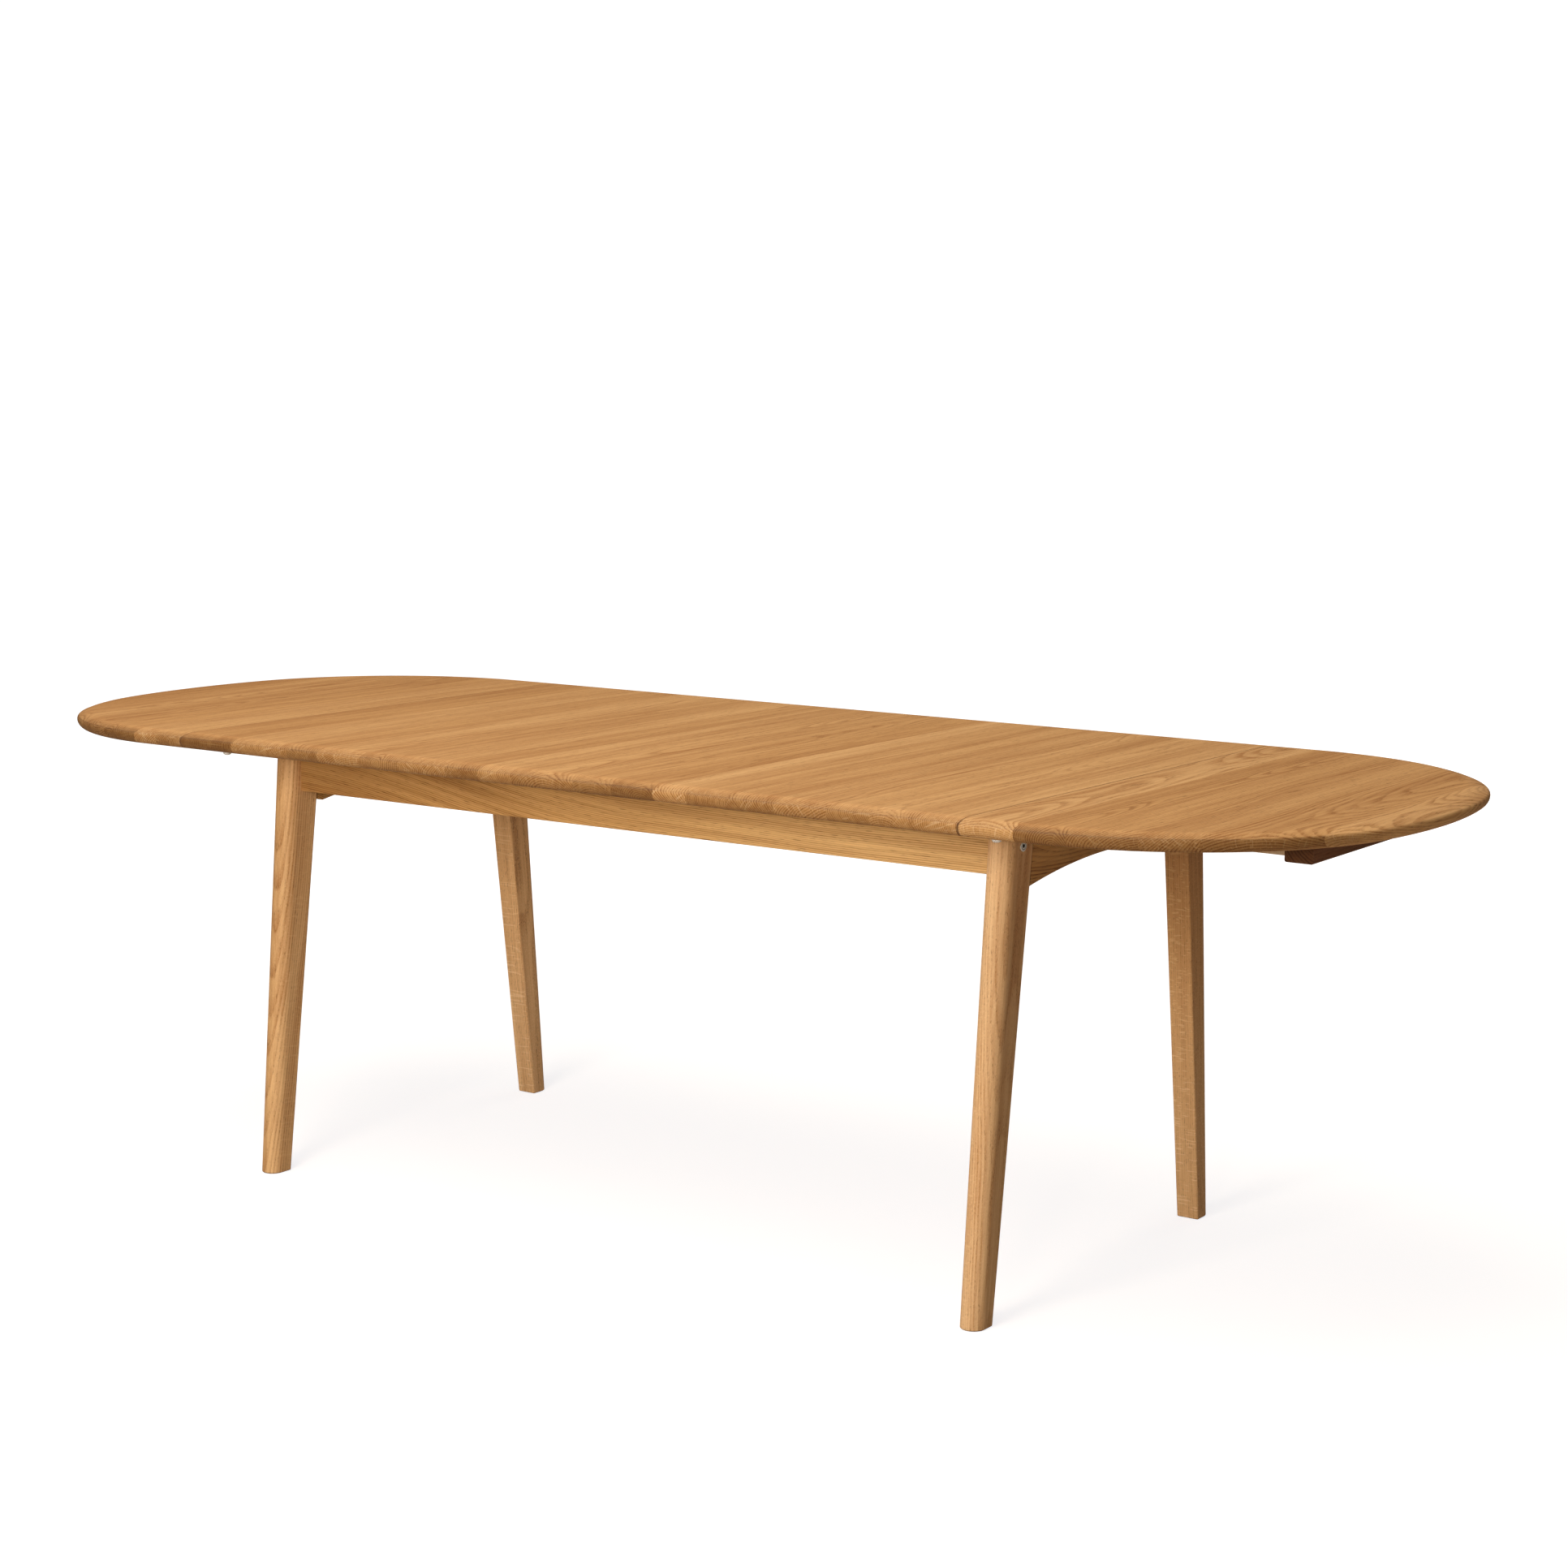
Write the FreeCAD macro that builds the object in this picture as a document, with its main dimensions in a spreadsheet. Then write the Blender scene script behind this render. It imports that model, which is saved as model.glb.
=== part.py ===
"""Extending dining table in solid oak.

A rectangular main top and two round-ended leaves stand on a splayed-leg frame.  Under each end a
draw bearer (two runners and a batten) slides out through the end apron and carries the leaf.

X runs along the table, Y across it, Z up.  The origin is on the floor under the table's centre.
The right-hand and rear (+X, +Y) pieces are drawn, and their twins are mirrored from them.
"""
import FreeCAD, Part
import math
import os

import Sketcher
from FreeCAD import Placement, Rotation, Vector

SIZES = [
    # name, millimetres, what it is
    ("table_height", 735, "floor to the top face"),
    ("top_length", 1433, "main top, along X"),
    ("table_width", 945, "main top and leaves, along Y"),
    ("leaf_length", 483.5, "one leaf, from its seam to its tip"),
    ("slab_thickness", 24, "main top and leaves"),
    ("corner_radius", 385, "leaf outline, where the side turns into the end"),
    ("end_radius", 860, "leaf outline, the wide curve across the end"),
    ("crown_inset", 30, "how far in the upper edge starts to fall"),
    ("crown_drop", 11, "top face down to the widest line of the edge"),
    ("tip_radius", 6, "tight curve at the widest line of the edge"),
    ("seam_gap", 0.2, "between the main top and a leaf"),
    ("seam_arris", 0.6, "small bevel round both faces of a seam"),
    ("leg_end_inset", 45.5, "seam in to a leg's centre, along X"),
    ("leg_top_width", 42, "leg, along X, at the top"),
    ("leg_foot_width", 37, "leg, along X, at the floor"),
    ("leg_side_inset", 248.5, "top's long edge in to a leg's flat inner face, at the top"),
    ("leg_splay", 88, "how much further out that face stands at the floor"),
    ("leg_top_flat", 48, "flat depth of a leg before its round front, at the top"),
    ("leg_foot_flat", 22.5, "the same at the floor"),
    ("leg_corner", 3, "softened inner corners of a leg"),
    ("foot_round", 2, "rounded edge under each foot"),
    ("apron_reach", 49, "leg's inner face, at the top, out to a long apron's outer face"),
    ("apron_thickness", 26, "long apron"),
    ("apron_height", 85, "long apron"),
    ("apron_arris", 2, "softened lower edges of the aprons"),
    ("end_apron_thickness", 54.5, "end apron"),
    ("end_apron_height", 102.5, "end apron where it meets a leg"),
    ("end_apron_setback", 1, "end apron behind a leg's outer face"),
    ("arch_rise", 21, "end apron's arched lower edge"),
    ("rail_thickness", 24, "cross rail that guides the runners"),
    ("rail_height", 62, "cross rail"),
    ("runner_inset", 60, "leg's inner face, at the top, in to a runner's outer face"),
    ("runner_width", 24, "runner, along Y"),
    ("runner_height", 33, "runner"),
    ("runner_lead", 6, "bevel under a runner's inner end"),
    ("slide_gap", 0.3, "play above and below a sliding piece"),
    ("side_gap", 0.5, "play beside a runner in its notch"),
    ("draw_travel", 344, "how far a bearer slides in from its drawn place"),
    ("shut_gap", 1, "batten to end apron with the bearer pushed in"),
    ("meet_gap", 6, "runner's inner end to the table centre when pushed in"),
    ("batten_width", 42, "batten, along X"),
    ("batten_height", 41.5, "batten"),
    ("batten_round", 3, "rounded lower edges of a batten"),
    ("stop_radius", 4, "stop pin through a runner"),
    ("stop_setback", 10, "runner's inner end to its stop pin"),
    ("stop_reach", 10, "stop pin beyond each side of its runner"),
    ("dowel_radius", 5, "joint and seam dowels"),
    ("dowel_play", 0.05, "round a dowel, a pin or a nut in its hole"),
    ("joint_dowel_length", 40, "dowels in the frame's joints"),
    ("seam_dowel_length", 50, "dowels between a leaf and the main top"),
    ("seam_dowel_reach", 22, "seam dowel that stands out of its leaf"),
    ("seam_dowel_spacing", 310, "between the three dowels of a seam"),
    ("seam_hole_depth", 24, "seam holes in the main top"),
    ("apron_dowel_spacing", 24, "long apron's two dowels, each side of its bolt, up and down"),
    ("end_dowel_spacing", 50, "end apron's two dowels, up and down"),
    ("end_dowel_setback", 12, "end apron's outer face in to its dowels"),
    ("rail_dowel_spacing", 30, "cross rail's two dowels, up and down"),
    ("bolt_drop", 42, "underside of the top down to the leg bolt"),
    ("bolt_radius", 3.5, "threaded rod of the leg bolt"),
    ("bolt_length", 72, "threaded rod"),
    ("sleeve_radius", 5, "sleeve of the leg bolt's nut"),
    ("sleeve_length", 28, "sleeve of the nut"),
    ("nut_head_radius", 8, "flange of the sleeve nut"),
    ("nut_head_height", 2, "flange of the sleeve nut"),
    ("nut_head_round", 0.8, "rounded rim of the flange"),
    ("socket_radius", 2.9, "hexagon socket, centre to corner"),
    ("socket_depth", 5, "hexagon socket"),
    ("barrel_setback", 45, "long apron's end to its barrel nut"),
    ("barrel_radius", 7, "barrel nut"),
    ("barrel_length", 20, "barrel nut"),
    ("button_length", 36, "wooden button, towards the middle of the table"),
    ("button_width", 30, "wooden button, along its apron"),
    ("button_height", 22, "wooden button"),
    ("tongue_length", 8, "button's tongue in its slot"),
    ("tongue_height", 9, "button's tongue"),
    ("tongue_drop", 12, "underside of the top down to a tongue"),
    ("slot_slack", 1, "longer, deeper and taller slot than its tongue"),
    ("button_spacing", 430, "between the three buttons of a long apron"),
    ("screw_radius", 2, "small wood screws, shank"),
    ("screw_head_radius", 4, "small wood screws, countersunk head"),
    ("button_screw_length", 34, "screw through a button into the top"),
    ("plate_length", 84, "rest plate, along X"),
    ("plate_width", 30, "rest plate, along Y"),
    ("plate_thickness", 3, "rest plate"),
    ("plate_reach", 30, "rest plate beyond the seam, under the leaf"),
    ("plate_inset", 101.5, "top's long edge in to a rest plate's middle"),
    ("plate_corner", 5, "rounded corners of a rest plate"),
    ("plate_screw_length", 16, "screw that holds a rest plate"),
    ("plate_screw_spacing", 26, "between the two screws of a plate"),
    ("stud_radius", 7, "domed stud under a rest plate"),
    ("stud_height", 13.5, "domed stud"),
    ("stud_dome", 4.5, "domed end of the stud"),
    ("stud_neck_radius", 3, "stud's neck in the plate"),
]

doc = FreeCAD.newDocument("ExtendingTable")
sheet = doc.addObject("Spreadsheet::Sheet", "Sizes")
PIECES = []


class Length:
    """A length together with the sheet formula that drives it."""

    def __init__(self, value, text):
        self.value = float(value)
        self.text = text

    def __add__(self, other):
        return join(self, "+", other)

    def __radd__(self, other):
        return join(other, "+", self)

    def __sub__(self, other):
        return join(self, "-", other)

    def __rsub__(self, other):
        return join(other, "-", self)

    def __mul__(self, other):
        return join(self, "*", other)

    def __rmul__(self, other):
        return join(other, "*", self)

    def __truediv__(self, other):
        return join(self, "/", other)

    def __neg__(self):
        return join(0, "-", self)


def as_length(item):
    """Plain numbers join formulas too."""
    return item if isinstance(item, Length) else Length(item, f"{float(item)}")


def join(left, sign, right):
    """Work out left sign right, as a number and as a formula."""
    left = as_length(left)
    right = as_length(right)
    value = {
        "+": left.value + right.value,
        "-": left.value - right.value,
        "*": left.value * right.value,
        "/": left.value / right.value if right.value else 0.0,
    }[sign]
    return Length(value, f"({left.text} {sign} {right.text})")


def root(item):
    """Square root of a formula."""
    return Length(math.sqrt(item.value), f"sqrt({item.text})")


def bind(item, path, length):
    """Drive one property of an object by a formula."""
    item.setExpression(path, as_length(length).text)


class Sizes:
    """The sheet's cells, each as a Length of the same name."""

    def __init__(self, rows):
        for line, (name, value, note) in enumerate(rows, start=1):
            sheet.set(f"A{line}", name)
            sheet.set(f"B{line}", str(value))
            sheet.setAlias(f"B{line}", name)
            sheet.set(f"C{line}", note)
            setattr(self, name, Length(value, f"Sizes.{name}"))


S = Sizes(SIZES)
doc.recompute()


# ---- Building blocks ---------------------------------------------------------------------------

TURNS = {
    "+X": Rotation(Vector(0, 1, 0), 90),
    "-X": Rotation(Vector(0, 1, 0), -90),
    "+Y": Rotation(Vector(1, 0, 0), -90),
    "-Y": Rotation(Vector(1, 0, 0), 90),
    "+Z": Rotation(),
    "-Z": Rotation(Vector(1, 0, 0), 180),
}
ACROSS_X = Vector(1, 0, 0)
ACROSS_Y = Vector(0, 1, 0)


def settle(item, place, along="+Z"):
    """Put an object's own origin at place, with its own +Z turned to point along an axis."""
    item.Placement = Placement(Vector(*[as_length(part).value for part in place]), TURNS[along])
    for axis, part in zip("xyz", place):
        bind(item, f"Placement.Base.{axis}", part)
    return item


def keep(item, label):
    """Give a finished piece its name and list it for export."""
    item.Label = label
    PIECES.append(item)
    return item


def new_sketch(body, name, role, offset=0):
    """A sketch on one of the body's origin planes, moved along that plane's normal."""
    plane = next(item for item in body.Origin.OriginFeatures if item.Role == role)
    sketch = body.newObject("Sketcher::SketchObject", name)
    sketch.AttachmentSupport = [(plane, "")]
    sketch.MapMode = "FlatFace"
    bind(sketch, "AttachmentOffset.Base.z", offset)
    return sketch


def hold(sketch, length, kind, *points):
    """Add one dimension to a sketch and drive it by a formula."""
    index = sketch.addConstraint(Sketcher.Constraint(kind, *points, length.value))
    sketch.setExpression(f"Constraints[{index}]", length.text)


def arc_between(start, stop, radius, side):
    """The short arc from start to stop whose centre is left (side 1) or right (-1) of the run."""
    run = stop - start
    normal = Vector(-run.y, run.x, 0).normalize() * side
    rise = math.sqrt(max(radius * radius - run.Length * run.Length / 4, 0.0))
    centre = (start + stop) / 2 + normal * rise
    first, last = (stop, start) if side < 0 else (start, stop)
    angles = [math.atan2(point.y - centre.y, point.x - centre.x) for point in (first, last)]
    return Part.ArcOfCircle(Part.Circle(centre, Vector(0, 0, 1), radius), *angles)


def draw(sketch, corners):
    """Draw a closed outline, anticlockwise.

    A corner is (across, up), or (across, up, radius, side) where an arc leaves it for the next:
    side 1 bulges out of the outline, side -1 hollows it, and side 0 is a level half circle.
    """
    points = [Vector(as_length(row[0]).value, as_length(row[1]).value, 0) for row in corners]
    ends = []
    for index, row in enumerate(corners):
        start = points[index]
        stop = points[(index + 1) % len(points)]
        if len(row) == 2:
            shape = sketch.addGeometry(Part.LineSegment(start, stop), False)
            ends.append((shape, 1, 2))
        else:
            radius = as_length(row[2])
            shape = sketch.addGeometry(arc_between(start, stop, radius.value, row[3]), False)
            ends.append((shape, 2, 1) if row[3] < 0 else (shape, 1, 2))
            if row[3] == 0:
                hold(sketch, as_length(row[1]), "DistanceY", -1, 1, shape, 3)
            else:
                hold(sketch, radius, "Radius", shape)
    for index, (shape, first, last) in enumerate(ends):
        following = ends[(index + 1) % len(ends)]
        joint = Sketcher.Constraint("Coincident", shape, last, following[0], following[1])
        sketch.addConstraint(joint)
        hold(sketch, as_length(corners[index][0]), "DistanceX", -1, 1, shape, first)
        hold(sketch, as_length(corners[index][1]), "DistanceY", -1, 1, shape, first)
    return sketch


def feature(body, kind, name, **settings):
    """Add a PartDesign feature to a body and make it the body's tip."""
    item = body.newObject(f"PartDesign::{kind}", name)
    for key, setting in settings.items():
        if isinstance(setting, Length):
            bind(item, key, setting)
        else:
            setattr(item, key, setting)
    body.Tip = item
    return item


def prism(name, role, middle, thickness, corners):
    """A body with one outline, padded to both sides of the plane at middle."""
    body = doc.addObject("PartDesign::Body", name)
    sketch = draw(new_sketch(body, f"{name}_outline", role, middle), corners)
    feature(body, "Pad", f"{name}_pad", Profile=sketch, SideType="Symmetric", Length=thickness)
    return body


def turning(name, corners):
    """A body of revolution about its own Z axis; corners are (radius, height)."""
    body = doc.addObject("PartDesign::Body", name)
    sketch = draw(new_sketch(body, f"{name}_outline", "XZ_Plane"), corners)
    feature(body, "Revolution", f"{name}_turned", Profile=sketch, ReferenceAxis=(sketch, ["V_Axis"]))
    return body


def face_where(item, axis, level):
    """Name of the flat face of a feature that lies at a level on an axis."""
    for index, face in enumerate(item.Shape.Faces, start=1):
        flat = isinstance(face.Surface, Part.Plane)
        if flat and abs(getattr(face.CenterOfMass, axis) - level.value) < 1e-4:
            return f"Face{index}"
    raise RuntimeError(f"{item.Label} has no face at {axis} = {level.value}")


def edges_where(item, test):
    """Names of the edges of a feature that pass a test."""
    return [f"Edge{index}" for index, edge in enumerate(item.Shape.Edges, start=1) if test(edge)]


def rod(name, radius, length, place, along):
    """A plain round bar: a dowel, a pin or a drill."""
    item = doc.addObject("Part::Cylinder", name)
    bind(item, "Radius", radius)
    bind(item, "Height", length)
    return settle(item, place, along)


def block(name, low, high):
    """A plain box between two corners."""
    item = doc.addObject("Part::Box", name)
    for key, first, last in zip(("Length", "Width", "Height"), low, high):
        bind(item, key, last - first)
    return settle(item, low)


def twin(source, name, across):
    """The mirror image of a piece across the table's centre plane."""
    item = doc.addObject("Part::Mirroring", name)
    item.Source = source
    item.Normal = across
    return item


def twins(source, across):
    """A piece and its mirror image."""
    return [source, twin(source, f"{source.Name}_twin", across)]


def four(source):
    """A piece and its images in the other three quarters of the table."""
    pair = twins(source, ACROSS_X)
    return pair + [twin(item, f"{item.Name}_front", ACROSS_Y) for item in pair]


def group(name, items):
    """Several separate solids that are handled as one piece."""
    item = doc.addObject("Part::Compound", name)
    item.Links = items
    return item


def drill(name, base, tools):
    """Cut holes, slots and recesses into a piece."""
    item = doc.addObject("Part::Cut", name)
    item.Base = base
    item.Tool = tools[0]
    if len(tools) > 1:
        item.Tool = doc.addObject("Part::MultiFuse", f"{name}_tools")
        item.Tool.Shapes = tools
    return item


# ---- Lines that several pieces share -------------------------------------------------------------

UNDERSIDE = S.table_height - S.slab_thickness
HALF_WIDTH = S.table_width / 2
SEAM = S.top_length / 2
LEAF_START = SEAM + S.seam_gap
SLAB_MIDDLE = S.table_height - S.slab_thickness / 2
SLIDE_TOP = UNDERSIDE - S.slide_gap
BOLT_LEVEL = UNDERSIDE - S.bolt_drop
LEG_SPREAD = SEAM - S.leg_end_inset
LEG_TOP_INNER = HALF_WIDTH - S.leg_side_inset
LEG_FOOT_INNER = LEG_TOP_INNER + S.leg_splay
APRON_FACE = LEG_TOP_INNER + S.apron_reach
APRON_BACK = APRON_FACE - S.apron_thickness
APRON_MIDDLE = APRON_FACE - S.apron_thickness / 2
END_FACE = LEG_SPREAD + S.leg_top_width / 2 - S.end_apron_setback
END_MIDDLE = END_FACE - S.end_apron_thickness / 2
END_BACK = END_FACE - S.end_apron_thickness
END_DOWEL_PLACE = END_FACE - S.end_dowel_setback
RUNNER_START = S.draw_travel + S.meet_gap
RUNNER_END = END_FACE + S.shut_gap + S.draw_travel
RUNNER_OUTER = LEG_TOP_INNER - S.runner_inset
RUNNER_MIDDLE = RUNNER_OUTER - S.runner_width / 2
RUNNER_LEVEL = SLIDE_TOP - S.runner_height / 2
STOP_PLACE = RUNNER_START + S.stop_setback
RAIL_START = STOP_PLACE + S.stop_radius + S.slide_gap
RAIL_MIDDLE = RAIL_START + S.rail_thickness / 2
DOWEL_HOLE = S.dowel_radius + S.dowel_play
HALF_DOWEL = S.joint_dowel_length / 2
PLATE_PLACE = HALF_WIDTH - S.plate_inset


def leg_half_width(level):
    """Half of a leg's width along X at a height."""
    foot = S.leg_foot_width / 2
    return foot + (S.leg_top_width / 2 - foot) * level / UNDERSIDE


def leg_inner(level):
    """Table centre to a leg's flat inner face at a height."""
    return LEG_FOOT_INNER + (LEG_TOP_INNER - LEG_FOOT_INNER) * level / UNDERSIDE


def leg_inner_side(level):
    """Table centre to the side of a leg that a long apron meets, at a height."""
    return LEG_SPREAD - leg_half_width(level)


# ---- Edge moulding: a long soft fall above, a quarter round below ----------------------------------

HEEL_RADIUS = S.slab_thickness - S.crown_drop
CROWN_RADIUS = (
    (S.crown_inset - S.tip_radius) * (S.crown_inset - S.tip_radius)
    + S.crown_drop * S.crown_drop
    - S.tip_radius * S.tip_radius
) / (2 * (S.crown_drop - S.tip_radius))
CROWN_SHARE = CROWN_RADIUS / (CROWN_RADIUS - S.tip_radius)
TIP_INSET = S.crown_inset - CROWN_SHARE * (S.crown_inset - S.tip_radius)
TIP_DROP = CROWN_RADIUS - CROWN_SHARE * (CROWN_RADIUS - S.crown_drop)


def half_moulding(side, bow):
    """The edge's points on one long side (side 1 rear, -1 front), from the underside up."""
    return [
        (side * (HALF_WIDTH - HEEL_RADIUS), UNDERSIDE, HEEL_RADIUS, bow),
        (side * HALF_WIDTH, S.table_height - S.crown_drop, S.tip_radius, bow),
        (side * (HALF_WIDTH - TIP_INSET), S.table_height - TIP_DROP, CROWN_RADIUS, bow),
        (side * (HALF_WIDTH - S.crown_inset), S.table_height),
    ]


def main_top():
    """The fixed slab, moulded along both long sides, with seam holes in its ends."""
    rear = half_moulding(1, 1)
    front = half_moulding(-1, 1)
    places = [row[:2] for row in front]
    arcs = [row[2:] for row in front[:3]]
    down = [places[3] + arcs[2], places[2] + arcs[1], places[1] + arcs[0], places[0]]
    slab = prism("main_top_slab", "YZ_Plane", 0, S.top_length, rear + down)
    doc.recompute()
    ends = [face_where(slab.Tip, "x", SEAM), face_where(slab.Tip, "x", -SEAM)]
    feature(slab, "Chamfer", "main_top_arris", Base=(slab.Tip, ends), Size=S.seam_arris)
    holes = []
    for mark, shift in (("front", -1), ("middle", 0), ("rear", 1)):
        place = (SEAM - S.seam_hole_depth, shift * S.seam_dowel_spacing, SLAB_MIDDLE)
        hole = rod(f"seam_hole_{mark}", DOWEL_HOLE, S.seam_hole_depth + 1, place, "+X")
        holes += twins(hole, ACROSS_X)
    holes += button_pilots() + plate_pilots()
    keep(drill("main_top_drilled", slab, holes), "main_top")


def leaves():
    """The two round-ended leaves and the dowels glued into their seams."""
    reach = S.end_radius - S.corner_radius
    shoulder = HALF_WIDTH - S.corner_radius
    end_centre = LEAF_START + S.leaf_length - S.end_radius
    corner_run = root(reach * reach - shoulder * shoulder)
    corner_start = end_centre + corner_run
    meet_across = end_centre + S.end_radius * corner_run / reach
    meet_up = S.end_radius * shoulder / reach
    outline = [
        (LEAF_START, -HALF_WIDTH),
        (corner_start, -HALF_WIDTH, S.corner_radius, 1),
        (meet_across, -meet_up, S.end_radius, 1),
        (meet_across, meet_up, S.corner_radius, 1),
        (corner_start, HALF_WIDTH),
        (LEAF_START, HALF_WIDTH),
    ]
    slab = prism("leaf_slab", "XY_Plane", SLAB_MIDDLE, S.slab_thickness, outline)
    spine = doc.getObject("leaf_slab_outline")
    waste = new_sketch(slab, "leaf_edge_waste", "YZ_Plane", LEAF_START)
    spare = S.slab_thickness / 4
    low = UNDERSIDE - spare
    high = S.table_height + spare
    out = -HALF_WIDTH - spare
    edge = half_moulding(-1, -1)
    foot = (-(HALF_WIDTH - HEEL_RADIUS), low)
    head = (-(HALF_WIDTH - S.crown_inset), high)
    draw(waste, [(out, low), foot] + edge + [head, (out, high)])
    route = [f"Edge{number}" for number in range(1, 6)]
    feature(slab, "SubtractivePipe", "leaf_edge", Profile=waste, Spine=(spine, route))
    doc.recompute()
    seam_face = face_where(slab.Tip, "x", LEAF_START)
    feature(slab, "Chamfer", "leaf_arris", Base=(slab.Tip, [seam_face]), Size=S.seam_arris)
    dowels = []
    holes = []
    for mark, shift in (("front", -1), ("middle", 0), ("rear", 1)):
        place = (LEAF_START - S.seam_dowel_reach, shift * S.seam_dowel_spacing, SLAB_MIDDLE)
        dowels.append(rod(f"seam_dowel_{mark}", S.dowel_radius, S.seam_dowel_length, place, "+X"))
        length = S.seam_dowel_length + 1
        holes.append(rod(f"leaf_hole_{mark}", DOWEL_HOLE, length, place, "+X"))
    leaf = keep(drill("leaf_drilled", slab, holes), "right_leaf")
    pegs = keep(group("leaf_dowels", dowels), "right_leaf_dowels")
    keep(twin(leaf, "left_leaf", ACROSS_X), "left_leaf")
    keep(twin(pegs, "left_leaf_dowels", ACROSS_X), "left_leaf_dowels")


# ---- Frame ---------------------------------------------------------------------------------------


def leg_section(width, inner, flat):
    """D-shaped cut through the rear right leg: flat inside and beside, round outside."""
    half = width / 2
    curve = S.leg_corner
    return [
        (LEG_SPREAD - half, inner + curve, curve, 1),
        (LEG_SPREAD - half + curve, inner),
        (LEG_SPREAD + half - curve, inner, curve, 1),
        (LEG_SPREAD + half, inner + curve),
        (LEG_SPREAD + half, inner + flat, half, 0),
        (LEG_SPREAD - half, inner + flat),
    ]


def frame_dowels():
    """Dowel places in the rear right quarter: (name, middle of the dowel, direction)."""
    low_end = UNDERSIDE - S.end_apron_height / 2
    rail_level = UNDERSIDE - S.rail_height / 2
    rows = []
    for mark, side in (("low", -1), ("high", 1)):
        level = BOLT_LEVEL + side * S.apron_dowel_spacing
        rows.append((f"apron_{mark}", (leg_inner_side(level), APRON_MIDDLE, level), "+X"))
        level = low_end + side * S.end_dowel_spacing / 2
        rows.append((f"end_{mark}", (END_DOWEL_PLACE, leg_inner(level), level), "+Y"))
        level = rail_level + side * S.rail_dowel_spacing / 2
        rows.append((f"rail_{mark}", (RAIL_MIDDLE, APRON_BACK, level), "+Y"))
    return rows


def dowel_rods(prefix, kind, radius, length, share=1):
    """Rods centred on one kind of frame joint; share is the part of a rod before its joint."""
    rods = []
    for name, middle, along in frame_dowels():
        if name.startswith(kind):
            start = list(middle)
            axis = "XYZ".index(along[1])
            start[axis] = middle[axis] - length / 2 * share
            rods.append(rod(f"{prefix}_{name}", radius, length, tuple(start), along))
    return rods


def legs():
    """Four splayed, tapering legs, drilled for the bolts and dowels."""
    body = doc.addObject("PartDesign::Body", "leg_blank")
    foot = new_sketch(body, "leg_foot", "XY_Plane")
    draw(foot, leg_section(S.leg_foot_width, LEG_FOOT_INNER, S.leg_foot_flat))
    head = new_sketch(body, "leg_head", "XY_Plane", UNDERSIDE)
    draw(head, leg_section(S.leg_top_width, LEG_TOP_INNER, S.leg_top_flat))
    feature(body, "AdditiveLoft", "leg_taper", Profile=head, Sections=[foot])
    doc.recompute()
    sole = face_where(body.Tip, "z", as_length(0))
    feature(body, "Fillet", "leg_foot_edge", Base=(body.Tip, [sole]), Radius=S.foot_round)
    start = (LEG_SPREAD - S.leg_top_width, APRON_MIDDLE, BOLT_LEVEL)
    length = 2 * S.leg_top_width
    tools = [rod("leg_bolt_hole", S.sleeve_radius + S.dowel_play, length, start, "+X")]
    tools += dowel_rods("leg_hole", "apron", DOWEL_HOLE, S.joint_dowel_length)
    tools += dowel_rods("leg_hole", "end", DOWEL_HOLE, S.joint_dowel_length)
    leg = keep(drill("leg_drilled", body, tools), "rear_right_leg")
    left = keep(twin(leg, "rear_left_leg", ACROSS_X), "rear_left_leg")
    keep(twin(leg, "front_right_leg", ACROSS_Y), "front_right_leg")
    keep(twin(left, "front_left_leg", ACROSS_Y), "front_left_leg")


def long_aprons():
    """Straight front and rear aprons, bolted between the legs."""
    low = UNDERSIDE - S.apron_height
    foot = leg_inner_side(low)
    head = leg_inner_side(UNDERSIDE)
    outline = [(-foot, low), (foot, low), (head, UNDERSIDE), (-head, UNDERSIDE)]
    board = prism("apron_board", "XZ_Plane", -APRON_MIDDLE, S.apron_thickness, outline)
    doc.recompute()
    lower = edges_where(board.Tip, lambda edge: edge.CenterOfMass.z < low.value + 1e-4
                        and edge.Length > 2 * S.apron_thickness.value)
    feature(board, "Fillet", "apron_arris", Base=(board.Tip, lower), Radius=S.apron_arris)
    barrel = leg_inner_side(BOLT_LEVEL) - S.barrel_setback
    start = (barrel - S.barrel_radius, APRON_MIDDLE, BOLT_LEVEL)
    tools = [
        rod("apron_bolt_hole", S.bolt_radius + S.dowel_play, S.bolt_length, start, "+X"),
        rod(
            "apron_barrel_hole",
            S.barrel_radius + S.dowel_play,
            S.barrel_length + 1,
            (barrel, APRON_BACK - 1, BOLT_LEVEL),
            "+Y",
        ),
    ]
    tools += dowel_rods("apron_hole", "apron", DOWEL_HOLE, S.joint_dowel_length)
    tools += dowel_rods("apron_hole", "rail", DOWEL_HOLE, S.joint_dowel_length * 0.8)
    cutters = []
    for tool in tools:
        cutters += twins(tool, ACROSS_X)
    for mark, shift in (("left", -1), ("middle", 0), ("right", 1)):
        cutters.append(button_slot(f"apron_slot_{mark}", shift * S.button_spacing))
    apron = keep(drill("apron_drilled", board, cutters), "rear_apron")
    keep(twin(apron, "front_apron", ACROSS_Y), "front_apron")


def notch(side, level):
    """Corners of a runner's notch, from the outer top corner round to the inner one."""
    outer = side * (RUNNER_OUTER + S.side_gap)
    inner = side * (RUNNER_OUTER - S.runner_width - S.side_gap)
    first, last = (outer, inner) if side > 0 else (inner, outer)
    return [(first, UNDERSIDE), (first, level), (last, level), (last, UNDERSIDE)]


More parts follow.
